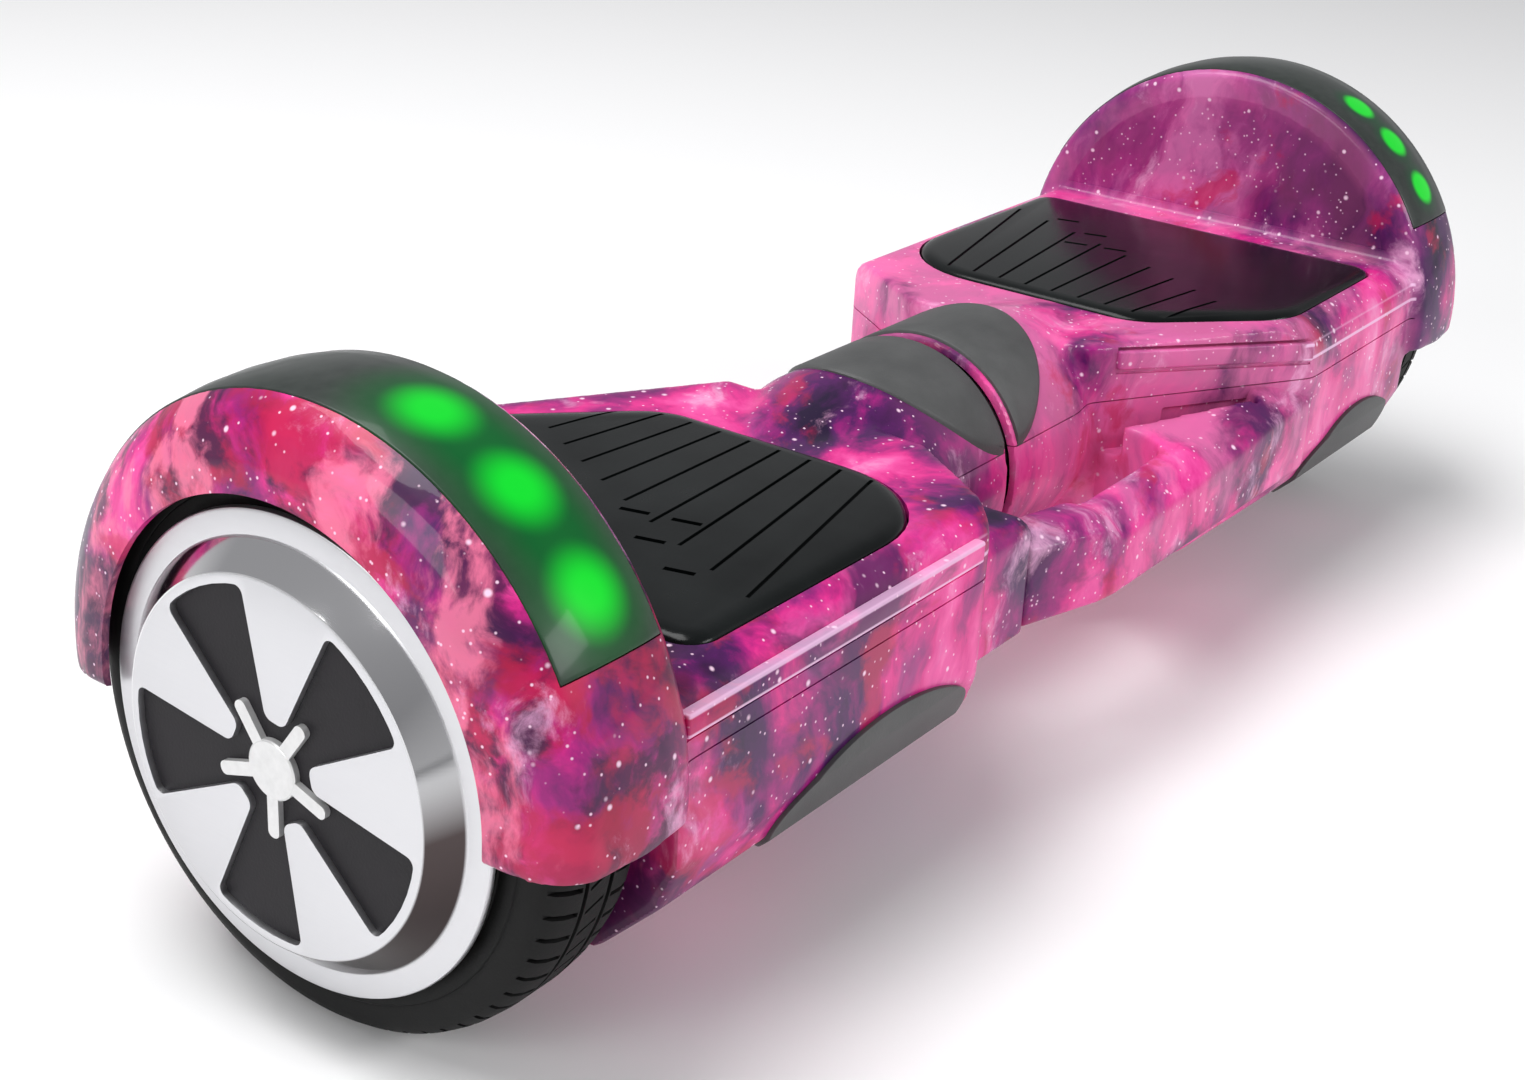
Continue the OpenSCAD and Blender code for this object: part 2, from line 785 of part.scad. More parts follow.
// The bundle that crosses from half to half inside the pivot tube
module link_cable() {
  color("#303030") bar_x(1 - pivot_end, 2 * pivot_end - 2, pivot_r - pivot_wall - 2, neck_z);
}

// ---- Handle ----

// The grip runs from the right half's front slope across the neck to the left half, and its
// upper part stands off the slope by a slot
module carry_handle() {
  color("hotpink") difference() {
    translate([0, 0, grip_z]) linear_extrude(grip_h) offset(r = 5) offset(delta = -5) polygon([
      [grip_start, grip_front + grip_set_back], [grip_bend, grip_front], [taper_end + 2, grip_front],
      [taper_end + 2, -half_w + 12], [opening_end, -neck_r + 4], [opening_end - 4, grip_back],
      [grip_bend + 6, grip_back], [grip_start, grip_back + grip_set_back - 2]
    ]);
    body_block(0);
    translate([taper_start, 5 - neck_r, slot_z]) rotate([0, 0, slant_turn])
      translate([-4, -slot_w, 0]) cube([slot_l + 4, slot_w + 10, grip_h]);
  }
}

// The block on the left half that the grip's free end faces
module handle_block() {
  color("hotpink") difference() {
    translate([sleeve_start, grip_front + grip_set_back - 1, grip_z])
      cube([sleeve_x - sleeve_start, block_d, grip_h + 5]);
    left_half() body_block(0);
  }
}

module charge_socket() {
  lug_z = socket_z + socket_flange_r + 1.5;
  color("#202020") difference() {
    union() {
      translate([socket_x, half_w - 18, socket_z]) rotate([-90, 0, 0])
        cylinder(r = socket_d / 2 + 2.5, h = 19.5);
      translate([socket_x, half_w, socket_z]) rotate([-90, 0, 0]) cylinder(r = socket_flange_r, h = 1.5);
      for (s = [-1, 1]) translate([socket_x + s * 5.5 - 1.5, half_w, socket_z])
        cube([3, 4.5, lug_z - socket_z + 2.5]);
    }
    translate([socket_x, half_w - 15, socket_z]) rotate([-90, 0, 0]) cylinder(r = socket_d / 2, h = 30);
    translate([socket_x - 12, half_w + 3, lug_z]) rotate([0, 90, 0]) cylinder(r = cap_pin_r + run, h = 24);
    translate([socket_x, half_w + 1.5, socket_z]) rotate([-90, 0, 0])
      cylinder(r = socket_flange_r + clear, h = 10);
  }
}

module charge_cap() {
  lug_z = socket_z + socket_flange_r + 1.5;
  color("#303030") {
    translate([socket_x, half_w + 1.8, socket_z]) rotate([-90, 0, 0]) cylinder(r = socket_flange_r - 0.5, h = 2.4);
    translate([socket_x - 3.5, half_w + 1.8, socket_z + 4]) cube([7, 2.4, lug_z - socket_z - 4]);
    translate([socket_x - 7, half_w + 3, lug_z]) rotate([0, 90, 0]) cylinder(r = cap_pin_r, h = 14);
  }
}

module power_button() {
  color("#202020") translate([-button_x, half_w - 8, button_z]) rotate([-90, 0, 0]) {
    cylinder(r = button_d / 2 - 0.2, h = 10);
    cylinder(r = button_d / 2 + 2, h = 2);
  }
}

left_chassis();
right_chassis();
left_half() top_shell();  // left_top_shell
top_shell();  // right_top_shell
left_half() left_bottom();  // left_bottom_shell
right_bottom();  // right_bottom_shell
left_half() led_lens();  // left_led_lens
led_lens();  // right_led_lens
mirror([1, 0, 0]) led_strip();  // left_led_strip
led_strip();  // right_led_strip
left_half() neck_collar();  // left_neck_collar
neck_collar();  // right_neck_collar
left_half() foot_mat();  // left_foot_mat
foot_mat();  // right_foot_mat
left_half() gyro_board();  // left_gyro_board
gyro_board();  // right_gyro_board
left_bumpers();
right_bumpers();
left_half() shell_screws();  // left_shell_screws
shell_screws();  // right_shell_screws
left_half() tyre();  // left_tyre
tyre();  // right_tyre
left_half() motor_rim();  // left_motor_rim
motor_rim();  // right_motor_rim
left_half() motor_cover();  // left_motor_cover
motor_cover();  // right_motor_cover
left_half() hubcap();  // left_hubcap
hubcap();  // right_hubcap
left_half() hub_disc();  // left_hub_disc
hub_disc();  // right_hub_disc
left_half() hub_badge();  // left_hub_badge
hub_badge();  // right_hub_badge
left_half() magnets();  // left_magnets
magnets();  // right_magnets
left_half() stator();  // left_stator
stator();  // right_stator
left_half() windings();  // left_windings
windings();  // right_windings
left_half() axle();  // left_axle
axle();  // right_axle
left_half() wheel_bearings();  // left_wheel_bearings
wheel_bearings();  // right_wheel_bearings
left_half() axle_clamp();  // left_axle_clamp
axle_clamp();  // right_axle_clamp
left_half() clamp_screws();  // left_clamp_screws
clamp_screws();  // right_clamp_screws
left_half() motor_cable();  // left_motor_cable
motor_cable();  // right_motor_cable
pivot_shaft();
pivot_bushes();
pivot_circlip();
link_cable();
battery_pack();
control_board();
carry_handle();
handle_block();
charge_socket();
charge_cap();
power_button();
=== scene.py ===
"""A two-wheeled self-balancing board: its shells, wheels, mats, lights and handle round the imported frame."""
import math

import bmesh
import bpy
from mathutils import Matrix, Vector


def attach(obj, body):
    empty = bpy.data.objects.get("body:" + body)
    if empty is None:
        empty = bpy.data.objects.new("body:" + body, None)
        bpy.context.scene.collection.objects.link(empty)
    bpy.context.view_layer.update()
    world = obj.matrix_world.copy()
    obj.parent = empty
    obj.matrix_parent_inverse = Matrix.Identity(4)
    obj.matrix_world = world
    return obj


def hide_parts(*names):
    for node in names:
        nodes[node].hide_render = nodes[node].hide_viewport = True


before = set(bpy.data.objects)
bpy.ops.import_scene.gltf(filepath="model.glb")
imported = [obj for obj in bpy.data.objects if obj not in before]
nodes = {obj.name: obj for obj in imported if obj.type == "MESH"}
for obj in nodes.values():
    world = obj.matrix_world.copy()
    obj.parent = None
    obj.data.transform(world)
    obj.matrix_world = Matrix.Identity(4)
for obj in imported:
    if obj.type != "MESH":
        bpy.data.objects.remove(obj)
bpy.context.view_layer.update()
scene = bpy.context.scene

# ---- Camera, floor and studio light ----
# A long lens stands at the board's left front and a little above it, over a pale sweep of
# floor. Large soft boxes overhead, in front and at the left light it from a pale room.
CAMERA_PLACE = (-0.6493, -0.3875, 0.3816)
CAMERA_AZIMUTH = math.radians(-55.511)
CAMERA_ELEVATION = math.radians(23.897)
CAMERA_ROLL = math.radians(3.312)
CAMERA_LENS = 53.97
LENS_SHIFT = (-0.0026, -0.0030)
FLOOR_SIDE = 30.0


def aim_camera():
    lens = bpy.data.cameras.new("camera")
    lens.lens = CAMERA_LENS
    lens.shift_x, lens.shift_y = LENS_SHIFT
    lens.clip_start = 0.02
    lens.clip_end = 60
    camera = bpy.data.objects.new("camera", lens)
    scene.collection.objects.link(camera)
    back = Vector((math.sin(CAMERA_AZIMUTH) * math.cos(CAMERA_ELEVATION),
                   -math.cos(CAMERA_AZIMUTH) * math.cos(CAMERA_ELEVATION),
                   math.sin(CAMERA_ELEVATION)))
    level = Vector((0, 0, 1)).cross(back).normalized()
    upright = back.cross(level)
    right = level * math.cos(CAMERA_ROLL) + upright * math.sin(CAMERA_ROLL)
    up = upright * math.cos(CAMERA_ROLL) - level * math.sin(CAMERA_ROLL)
    turn = Matrix((right, up, back)).transposed().to_4x4()
    camera.matrix_world = Matrix.Translation(CAMERA_PLACE) @ turn
    scene.camera = camera


def add_node(tree, kind, inputs=None, **settings):
    """A shader node with its settings, and its sockets set or linked."""
    made = tree.nodes.new(kind)
    for key, value in settings.items():
        setattr(made, key, value)
    for key, value in (inputs or {}).items():
        if isinstance(value, bpy.types.NodeSocket):
            tree.links.new(value, made.inputs[key])
        else:
            made.inputs[key].default_value = value
    return made


def sum_up(tree, how, *values):
    """A maths node's result; more than two values are taken in turn."""
    total = values[0]
    for value in values[1:] or [None]:
        terms = {0: total} if value is None else {0: total, 1: value}
        total = add_node(tree, "ShaderNodeMath", terms, operation=how).outputs[0]
    return total


def remap(tree, value, start, end, low=0.0, high=1.0, **settings):
    """A value carried from one range to another."""
    return add_node(tree, "ShaderNodeMapRange", {"Value": value, "From Min": start, "From Max": end,
                                                 "To Min": low, "To Max": high}, **settings).outputs["Result"]


def object_place(tree):
    return add_node(tree, "ShaderNodeTexCoord").outputs["Object"]


def roughen(tree, shader, height, strength, distance=0.0002):
    """Drives a shader's normal from a height."""
    bump = add_node(tree, "ShaderNodeBump", {"Height": height, "Strength": strength, "Distance": distance})
    tree.links.new(bump.outputs["Normal"], shader.inputs["Normal"])


def new_finish(name, **sockets):
    """A material with one Principled shader; sockets are its plain values."""
    finish = bpy.data.materials.new(name)
    finish.use_nodes = True
    tree = finish.node_tree
    shader = tree.nodes["Principled BSDF"]
    for key, value in sockets.items():
        shader.inputs[key.replace("_", " ").title().replace("Ior", "IOR")].default_value = value
    return finish, tree, shader


def ramp_in(tree, value, bands):
    """A colour ramp with one stop for each (position, colour)."""
    ramp = add_node(tree, "ShaderNodeValToRGB", {"Fac": value})
    while len(ramp.color_ramp.elements) < len(bands):
        ramp.color_ramp.elements.new(0.5)
    for stop, (where, colour) in zip(ramp.color_ramp.elements, bands):
        stop.position = where
        stop.color = (*colour, 1)
    return ramp.outputs["Color"]


def grained(name, dark, light, scale, rough, bump_height, **sockets):
    """A finish whose colour and sheen drift between two values, with a fine grain in its surface."""
    finish, tree, shader = new_finish(name, **sockets)
    place = object_place(tree)
    drift = add_node(tree, "ShaderNodeTexNoise", {"Vector": place, "Scale": scale, "Detail": 6.0,
                                                  "Roughness": 0.6}).outputs["Fac"]
    tree.links.new(ramp_in(tree, drift, [(0.32, dark), (0.68, light)]), shader.inputs["Base Color"])
    tree.links.new(remap(tree, drift, 0.3, 0.7, *rough), shader.inputs["Roughness"])
    grain = add_node(tree, "ShaderNodeTexNoise", {"Vector": place, "Scale": 1100.0, "Detail": 2.0})
    roughen(tree, shader, grain.outputs["Fac"], bump_height)
    return finish


def area_light(name, place, target, size, power, tint=(1, 1, 1)):
    lamp = bpy.data.lights.new(name, "AREA")
    lamp.shape = "RECTANGLE"
    lamp.size, lamp.size_y = size
    lamp.energy = power
    lamp.color = tint
    holder = bpy.data.objects.new(name, lamp)
    scene.collection.objects.link(holder)
    holder.location = place
    holder.rotation_euler = (Vector(target) - Vector(place)).to_track_quat("-Z", "Y").to_euler()


def new_object(name, points, faces):
    mesh = bpy.data.meshes.new(name)
    mesh.from_pydata(points, [], faces)
    mesh.validate()
    made = bpy.data.objects.new(name, mesh)
    scene.collection.objects.link(made)
    return made


aim_camera()
half_side = FLOOR_SIDE / 2
floor = new_object("floor", [(-half_side, -half_side, 0), (half_side, -half_side, 0),
                             (half_side, half_side, 0), (-half_side, half_side, 0)], [(0, 1, 2, 3)])
floor_finish, tree, shader = new_finish("studio_floor", base_color=(0.96, 0.96, 0.96, 1), roughness=0.9,
                                        specular_ior_level=0.1)
floor.data.materials.append(floor_finish)

scene.view_settings.view_transform = "Standard"
world = bpy.data.worlds.new("pale_room")
scene.world = world
world.use_nodes = True
tree = world.node_tree
sky_place = add_node(tree, "ShaderNodeTexCoord").outputs["Generated"]
height = add_node(tree, "ShaderNodeSeparateXYZ", {"Vector": sky_place})
sky = add_node(tree, "ShaderNodeValToRGB", {"Fac": height.outputs["Z"]})
sky.color_ramp.elements[0].color = (0.62, 0.62, 0.63, 1)
sky.color_ramp.elements[1].color = (0.30, 0.30, 0.31, 1)
sky.color_ramp.elements[1].position = 0.35
tree.links.new(sky.outputs["Color"], tree.nodes["Background"].inputs["Color"])
tree.nodes["Background"].inputs["Strength"].default_value = 1.0

area_light("overhead_box", (-0.5, 0.5, 1.9), (0, 0, 0), (1.6, 1.0), 34)
area_light("front_box", (0.6, -2.2, 1.3), (0, 0, 0.08), (1.4, 0.5), 22)
area_light("left_box", (-2.2, 0.3, 1.1), (-0.3, 0, 0.1), (0.9, 0.9), 14)

# ---- Shells ----
# Each half is a top moulding, whose end rises into the fender, and a bottom moulding, screwed
# together from below. They are ABS, film-printed with a pink nebula and lacquered.
MM = 0.001
NECK_R = 43
NECK_Z = 82
NECK_GAP = 5
DECK_Z = 116
BELLY_Z = 28
SEAM_Z = 95
HALF_W = 89
BODY_END = 246
SHOULDER_X = 94
TAPER_START = 58
TAPER_END = 145
WALL = 2.8
FENDER_R = 95
FENDER_Z = 88
FENDER_WALL = 2.5
FENDER_DROP = 5
MOUTH_R = 69
FENDER_OUT = 298.5
AXLE_Z = 84
MAT_IN = 97
MAT_OUT = 227
MAT_HALF_W = 77
LENS_IN = 249
LENS_OUT = 286
LENS_START = 27.5
PRINT_VOXEL = 1.5
LIP_LOW = 102.5
LIP_HIGH = 109.6
LIP_MIDDLE = 0.1061
RECESS_START = (86.9, -55.8)
RECESS_END = (119.9, -75.3)


def rounded(corners, radius, steps=6):
    """A closed outline with each corner turned into an arc; a corner may carry its own radius."""
    outline = []
    for i, corner in enumerate(corners):
        here = Vector(corner[:2])
        before, after = Vector(corners[i - 1][:2]), Vector(corners[(i + 1) % len(corners)][:2])
        bend = corner[2] if len(corner) > 2 else radius
        into, out = (before - here).normalized(), (after - here).normalized()
        half_angle = into.angle(out) / 2
        if bend < 0.01 or half_angle > math.radians(89):
            outline.append(tuple(here))
            continue
        reach = min(bend / math.tan(half_angle), (before - here).length * 0.49, (after - here).length * 0.49)
        bend = reach * math.tan(half_angle)
        centre = here + (into + out).normalized() * (bend / math.sin(half_angle))
        start, end = here + into * reach - centre, here + out * reach - centre
        sweep = start.angle_signed(end)
        for k in range(steps + 1):
            spoke = start.copy()
            spoke.rotate(Matrix.Rotation(-sweep * k / steps, 2))
            outline.append(tuple(centre + spoke))
    return outline


def prism(outline, low, high, axis="Z"):
    """A closed prism of an (X, Y) outline along Z, a (Y, Z) one along X, or an (X, Z) one along Y, in mm."""
    place = {"Z": lambda u, v, w: (u, v, w), "X": lambda u, v, w: (w, u, v),
             "Y": lambda u, v, w: (u, w, v)}[axis]
    count = len(outline)
    points = [place(u, v, w) for w in (low, high) for u, v in outline]
    faces = [[i, (i + 1) % count, (i + 1) % count + count, i + count] for i in range(count)]
    faces += [list(range(count))[::-1], list(range(count, 2 * count))]
    return outward(new_object("prism", [Vector(p) * MM for p in points], faces))


def outward(piece):
    mesh = bmesh.new()
    mesh.from_mesh(piece.data)
    bmesh.ops.remove_doubles(mesh, verts=mesh.verts, dist=1e-7)
    bmesh.ops.recalc_face_normals(mesh, faces=mesh.faces)
    mesh.to_mesh(piece.data)
    mesh.free()
    return piece


def drum(profile, z, start=0, sweep=360, steps=128):
    """A closed (X, radius) outline turned about a line along X; angles run from +Y towards +Z, in mm."""
    turns = steps if sweep == 360 else steps + 1
    points, faces, count = [], [], len(profile)
    for k in range(turns):
        angle = math.radians(start + sweep * k / steps)
        across, up = math.cos(angle), math.sin(angle)
        points += [Vector((x, r * across, z + r * up)) * MM for x, r in profile]
    for k in range(steps):
        one, two = k * count, ((k + 1) % turns) * count
        faces += [[one + i, one + (i + 1) % count, two + (i + 1) % count, two + i] for i in range(count)]
    if sweep != 360:
        faces += [list(range(count)), [steps * count + i for i in range(count)][::-1]]
    return outward(new_object("drum", points, faces))


def combine(piece, *others, how="UNION"):
    """Adds, cuts or keeps the overlap of closed solids, in turn."""
    for other in others:
        step = piece.modifiers.new("combine", "BOOLEAN")
        step.operation = how
        step.solver = "MANIFOLD"
        step.object = other
        settle(piece)
        bpy.data.objects.remove(other)
    return piece


def settle(piece):
    """Applies a piece's modifiers to its mesh."""
    solid = bpy.data.meshes.new_from_object(piece.evaluated_get(bpy.context.evaluated_depsgraph_get()))
    piece.modifiers.clear()
    piece.data = solid
    return piece


def soften(piece, voxel, rounds, factor=0.5):
    """Blends a solid's edges: an even skin of small squares, smoothed a number of rounds."""
    skin = piece.modifiers.new("skin", "REMESH")
    skin.mode = "VOXEL"
    skin.voxel_size = voxel * MM
    ease = piece.modifiers.new("ease", "SMOOTH")
    ease.factor = factor
    ease.iterations = rounds
    return settle(piece)


def bevelled(piece, width, segments=3, angle=30):
    bevel = piece.modifiers.new("bevel", "BEVEL")
    bevel.width = width * MM
    bevel.segments = segments
    bevel.limit_method = "ANGLE"
    bevel.angle_limit = math.radians(angle)
    return settle(piece)


def other_half(piece):
    """Turns a piece drawn on the right half into the left half's place."""
    piece.data.transform(Matrix.Rotation(math.pi, 4, "Z"))
    return piece


def shade(piece, angle=35):
    piece.data.shade_smooth()
    piece.data.set_sharp_from_angle(angle=math.radians(angle))
    return piece


def clothe(piece, name, finish, slot, body, *replaced):
    """Names a finished piece, gives it its material, and ties it to its body and CAD nodes."""
    piece.name = name
    piece.data.name = name
    piece.data.materials.clear()
    piece.data.materials.append(finish)
    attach(piece, body)
    if replaced:
        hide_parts(*replaced)
    return piece


def body_plan(inset=0, end=BODY_END + 40):
    """The body from above: square at the shoulder, drawn in along a slant on the other side."""
    slant = inset * 1.15
    return [(TAPER_START + 4 + slant, NECK_R - inset * 0.3, 0),
            (TAPER_START + slant, 5 - NECK_R + slant * 0.3, 0), (TAPER_END + inset * 0.3, inset - HALF_W, 14),
            (end, inset - HALF_W, 0), (end, HALF_W - inset, 0), (SHOULDER_X + inset * 0.5, HALF_W - inset, 12)]


def body_section(inset=0):
    """The body from its end, as (Y, Z): a flat belly, lower slopes, upright sides and a soft deck edge."""
    side = [(HALF_W - 27 - inset * 0.4, BELLY_Z + inset),
            (HALF_W - 7 - inset * 0.8, BELLY_Z + 20 + inset * 0.4), (HALF_W - inset, BELLY_Z + 36),
            (HALF_W - inset, SEAM_Z), (HALF_W - 1 - inset, DECK_Z - 9),
            (HALF_W - 4 - inset, DECK_Z - 4 - inset * 0.6), (HALF_W - 10 - inset, DECK_Z - inset)]
    return side + [(-y, z) for y, z in reversed(side)]


def body_form(inset=0):
    block = prism(rounded(body_plan(inset), 0), BELLY_Z - 5, DECK_Z + 5)
    combine(block, prism(body_section(inset), 0, BODY_END - inset, "X"), how="INTERSECT")
    neck = NECK_R - inset
    bell = [(NECK_GAP / 2 - inset, 0), (NECK_GAP / 2 - inset, neck), (TAPER_START - 10, neck),
            (SHOULDER_X + 3, DECK_Z - NECK_Z - inset), (SHOULDER_X + 3, 0)]
    return combine(block, drum(bell, NECK_Z, steps=96))


def fender_profile(inset=0):
    outer = [(FENDER_R - 3.5, 0), (FENDER_R - 1.6, 3), (FENDER_R - 0.4, 11), (FENDER_R, 20),
             (FENDER_R - 0.4, 30), (FENDER_R - 1.8, 40), (FENDER_R - 5.5, 45), (FENDER_R - 11, 49),
             (FENDER_R - 18, 51.6)]
    line = [(BODY_END + x + (inset if x == 0 else 0), r - inset) for r, x in outer]
    end = FENDER_OUT - inset
    return [(BODY_END + inset, 0)] + [(min(x, end), r) for x, r in line] + [(end, MOUTH_R), (end, 0)]


def mat_plan(grow=0):
    """The mat from above: a big curve at the shoulder, a slant where the body is drawn in."""
    out, inner, half = MAT_OUT + grow, MAT_IN - grow, MAT_HALF_W + grow
    return rounded([(out, -half, 9 + grow), (out, half, 9 + grow), (inner, half, 40 + grow),
                    (inner, 42 - half, 24 + grow), (inner + 46, -half, 30 + grow)], 0, 10)


def lens_ring(grow=0, deep=0, start=LENS_START, thick=FENDER_WALL):
    """The curved band of the fender that the light band fills."""
    low, high = LENS_IN - grow, LENS_OUT + grow
    outer = [p for p in fender_profile(-deep) if low < p[0] < high and p[1] > 80]
    first, last = (low, fender_at(low) + deep), (high, fender_at(high) + deep)
    skin = [first] + outer + [last]
    band = skin + [(x, r - thick - 2 * deep) for x, r in reversed(skin)]
    start -= grow * 0.6
    return drum(band, FENDER_Z, start, 180 - 2 * start, 160)


def fender_at(x):
    line = [p for p in fender_profile() if p[1] > 60]
    for (x0, r0), (x1, r1) in zip(line, line[1:]):
        if x0 <= x <= x1 and x1 > x0:
            return r0 + (r1 - r0) * (x - x0) / (x1 - x0)
    return line[-1][1]


def box(low, high):
    return prism([(low[0], low[1]), (high[0], low[1]), (high[0], high[1]), (low[0], high[1])], low[2], high[2])


def bar_along(start, end, half_thick, low, high):
    """An upright slab that runs from one (X, Y) point to another."""
    along = (Vector(end) - Vector(start)).normalized()
    side = Vector((-along.y, along.x)) * half_thick
    corners = [Vector(start) + side, Vector(start) - side, Vector(end) - side, Vector(end) + side]
    return prism([tuple(c) for c in corners], low, high)


def half_form():
    """A half's closed outer form, fender included, with soft edges."""
    form = body_form()
    combine(form, drum(fender_profile(), FENDER_Z, -FENDER_DROP, 180 + 2 * FENDER_DROP, 160))
    return soften(form, PRINT_VOXEL, 7)


def along_deck_edge(half_thick, low, high, out):
    """A slab along the deck's edge on the shoulder side, and one that climbs the slant opposite it."""
    slant_in, slant_out = Vector((TAPER_START, 5 - NECK_R)), Vector((TAPER_END, -HALF_W))
    along = (slant_out - slant_in).normalized()
    away = Vector((along.y, -along.x)) * out
    climbing = bar_along(slant_in + along * 12 + away, slant_out + away - along * 2, half_thick, low, high)
    for point in climbing.data.vertices:
        point.co.z += (TAPER_END * MM - point.co.x) * 0.06
    return [bar_along((102, HALF_W + out), (BODY_END, HALF_W + out), half_thick, low, high), climbing]


def add_ledge(form):
    """The bright lip along the deck's edge: a proud strip between two fine channels."""
    for strip in along_deck_edge(2.0, LIP_LOW, LIP_HIGH, -0.4):
        bevel = strip.modifiers.new("bevel", "BEVEL")
        bevel.width = 0.9 * MM
        bevel.segments = 3
        combine(form, settle(strip))
    combine(form, *along_deck_edge(1.2, LIP_HIGH, 110.8, -0.9), *along_deck_edge(1.0, 100.6, 101.6, 0.2),
            how="DIFFERENCE")
    return form


def recess_fender(form):
    """The fender's inner face is dished inside its rim, and the slant is recessed behind the grip's slot."""
    dish = drum([(235, 0), (BODY_END + 0.9, 0), (BODY_END + 0.9, 78), (BODY_END - 0.6, 84), (235, 84)],
                FENDER_Z, steps=160)
    combine(dish, box((230, -100, 0), (260, 100, DECK_Z + 4)), how="DIFFERENCE")
    slot = bar_along(RECESS_START, RECESS_END, 2.8, 77, 90)
    bevel = slot.modifiers.new("bevel", "BEVEL")
    bevel.width = 1.2 * MM
    bevel.segments = 4
    return combine(form, dish, settle(slot), how="DIFFERENCE")


def hollow(form):
    """Cuts what a half's mouldings leave open inside: the body, the neck and the wheel's arch."""
    arch = [(BODY_END + FENDER_WALL, 0)] + fender_profile(FENDER_WALL)[2:-2] + [
        (FENDER_OUT - FENDER_WALL, MOUTH_R), (FENDER_OUT + 5, MOUTH_R), (FENDER_OUT + 5, 0)]
    inner = body_form(WALL)
    combine(form, inner, drum(arch, FENDER_Z, steps=160), how="DIFFERENCE")
    axle = drum([(236, 0), (236, 11.5), (256, 11.5), (256, 0)], AXLE_Z, steps=48)
    return combine(form, axle, box((236, -11.5, 60), (256, 11.5, AXLE_Z)), how="DIFFERENCE")


nebula_finish, tree, shader = new_finish("printed_shell", roughness=0.42, specular_ior_level=0.25,
                                         coat_weight=0.3, coat_roughness=0.05)
place = object_place(tree)


def cloud(vector, scale, detail=6.0, roughness=0.6):
    return add_node(tree, "ShaderNodeTexNoise", {"Vector": vector, "Scale": scale, "Detail": detail,
                                                 "Roughness": roughness}).outputs["Fac"]


def tint(under, mask, colour):
    return add_node(tree, "ShaderNodeMix", {"Factor": mask, 6: under, 7: colour}, data_type="RGBA").outputs[2]


def mask_of(value, low, high, strength=1.0):
    return remap(tree, value, low, high, high=strength, interpolation_type="SMOOTHSTEP")


def both_masks(*masks):
    return sum_up(tree, "MULTIPLY", *masks)


def moved(vector, step):
    return add_node(tree, "ShaderNodeVectorMath", {0: vector, 1: step}, operation="ADD").outputs["Vector"]


# The cloud's colours run from a dark violet, through magenta, to a pale pink.
drift = add_node(tree, "ShaderNodeTexNoise", {"Vector": place, "Scale": 11.0, "Detail": 4.0})
pull = add_node(tree, "ShaderNodeVectorMath", {0: drift.outputs["Color"], "Scale": 0.07}, operation="SCALE")
warped = moved(place, pull.outputs["Vector"])
streaked = add_node(tree, "ShaderNodeMapping", {"Vector": warped, "Scale": (1.0, 1.0, 0.42)}).outputs["Vector"]
sky_print = ramp_in(tree, cloud(streaked, 19.0, 9.0, 0.58), [
    (0.35, (0.012, 0.001, 0.028)), (0.43, (0.075, 0.004, 0.095)), (0.485, (0.33, 0.006, 0.175)),
    (0.54, (0.72, 0.018, 0.250)), (0.61, (0.88, 0.080, 0.370)), (0.69, (0.95, 0.38, 0.66))])
deep = moved(warped, (3.1, 1.7, 0.6))
mist_place = moved(streaked, (1.9, 8.8, 3.3))
far_off = moved(warped, (0.4, 5.2, 2.3))
ember = moved(warped, (7.7, 0.2, 4.9))
sky_print = tint(sky_print, mask_of(cloud(deep, 8.5), 0.55, 0.66, 0.7), (0.36, 0.090, 0.30, 1))
sky_print = tint(sky_print, mask_of(cloud(far_off, 13.0), 0.50, 0.60, 0.9), (0.060, 0.005, 0.080, 1))

# The right fender's inner face is violet, and the right half's body the brightest pink.
across = add_node(tree, "ShaderNodeSeparateXYZ", {"Vector": place})
leftward = across.outputs["X"]
far_face = both_masks(mask_of(leftward, 0.238, 0.246), mask_of(leftward, 0.262, 0.254))
face_print = ramp_in(tree, cloud(streaked, 24.0, 9.0), [
    (0.38, (0.022, 0.003, 0.050)), (0.47, (0.105, 0.008, 0.115)), (0.54, (0.25, 0.020, 0.18)),
    (0.63, (0.62, 0.16, 0.42))])
sky_print = tint(sky_print, both_masks(far_face, 0.8), face_print)
bright_body = both_masks(mask_of(leftward, -0.06, 0.04, 0.66), mask_of(leftward, 0.250, 0.240))
glow = both_masks(bright_body, mask_of(cloud(mist_place, 17.0, 9.0), 0.40, 0.56))
sky_print = tint(sky_print, glow, (0.94, 0.19, 0.47, 1))

# The left fender mixes red, near-black and salmon clouds, and darkens towards its foot.
left_end = mask_of(leftward, -0.225, -0.262, 0.95)
for vector, scale, low, high, strength, colour in (
        (ember, 24.0, 0.49, 0.60, 0.85, (0.42, 0.001, 0.036, 1)),
        (deep, 30.0, 0.47, 0.57, 0.95, (0.035, 0.002, 0.045, 1)),
        (mist_place, 34.0, 0.52, 0.62, 0.75, (0.94, 0.20, 0.36, 1))):
    patch = both_masks(mask_of(cloud(vector, scale, 8.0), low, high, strength), left_end)
    sky_print = tint(sky_print, patch, colour)
low_dark = both_masks(mask_of(across.outputs["Z"], 0.105, 0.060, 0.75), left_end)
sky_print = tint(sky_print, both_masks(low_dark, mask_of(cloud(far_off, 27.0), 0.36, 0.56)),
                 (0.050, 0.002, 0.030, 1))
sky_print = tint(sky_print, mask_of(cloud(ember, 23.0), 0.57, 0.66, 0.6), (0.56, 0.010, 0.080, 1))
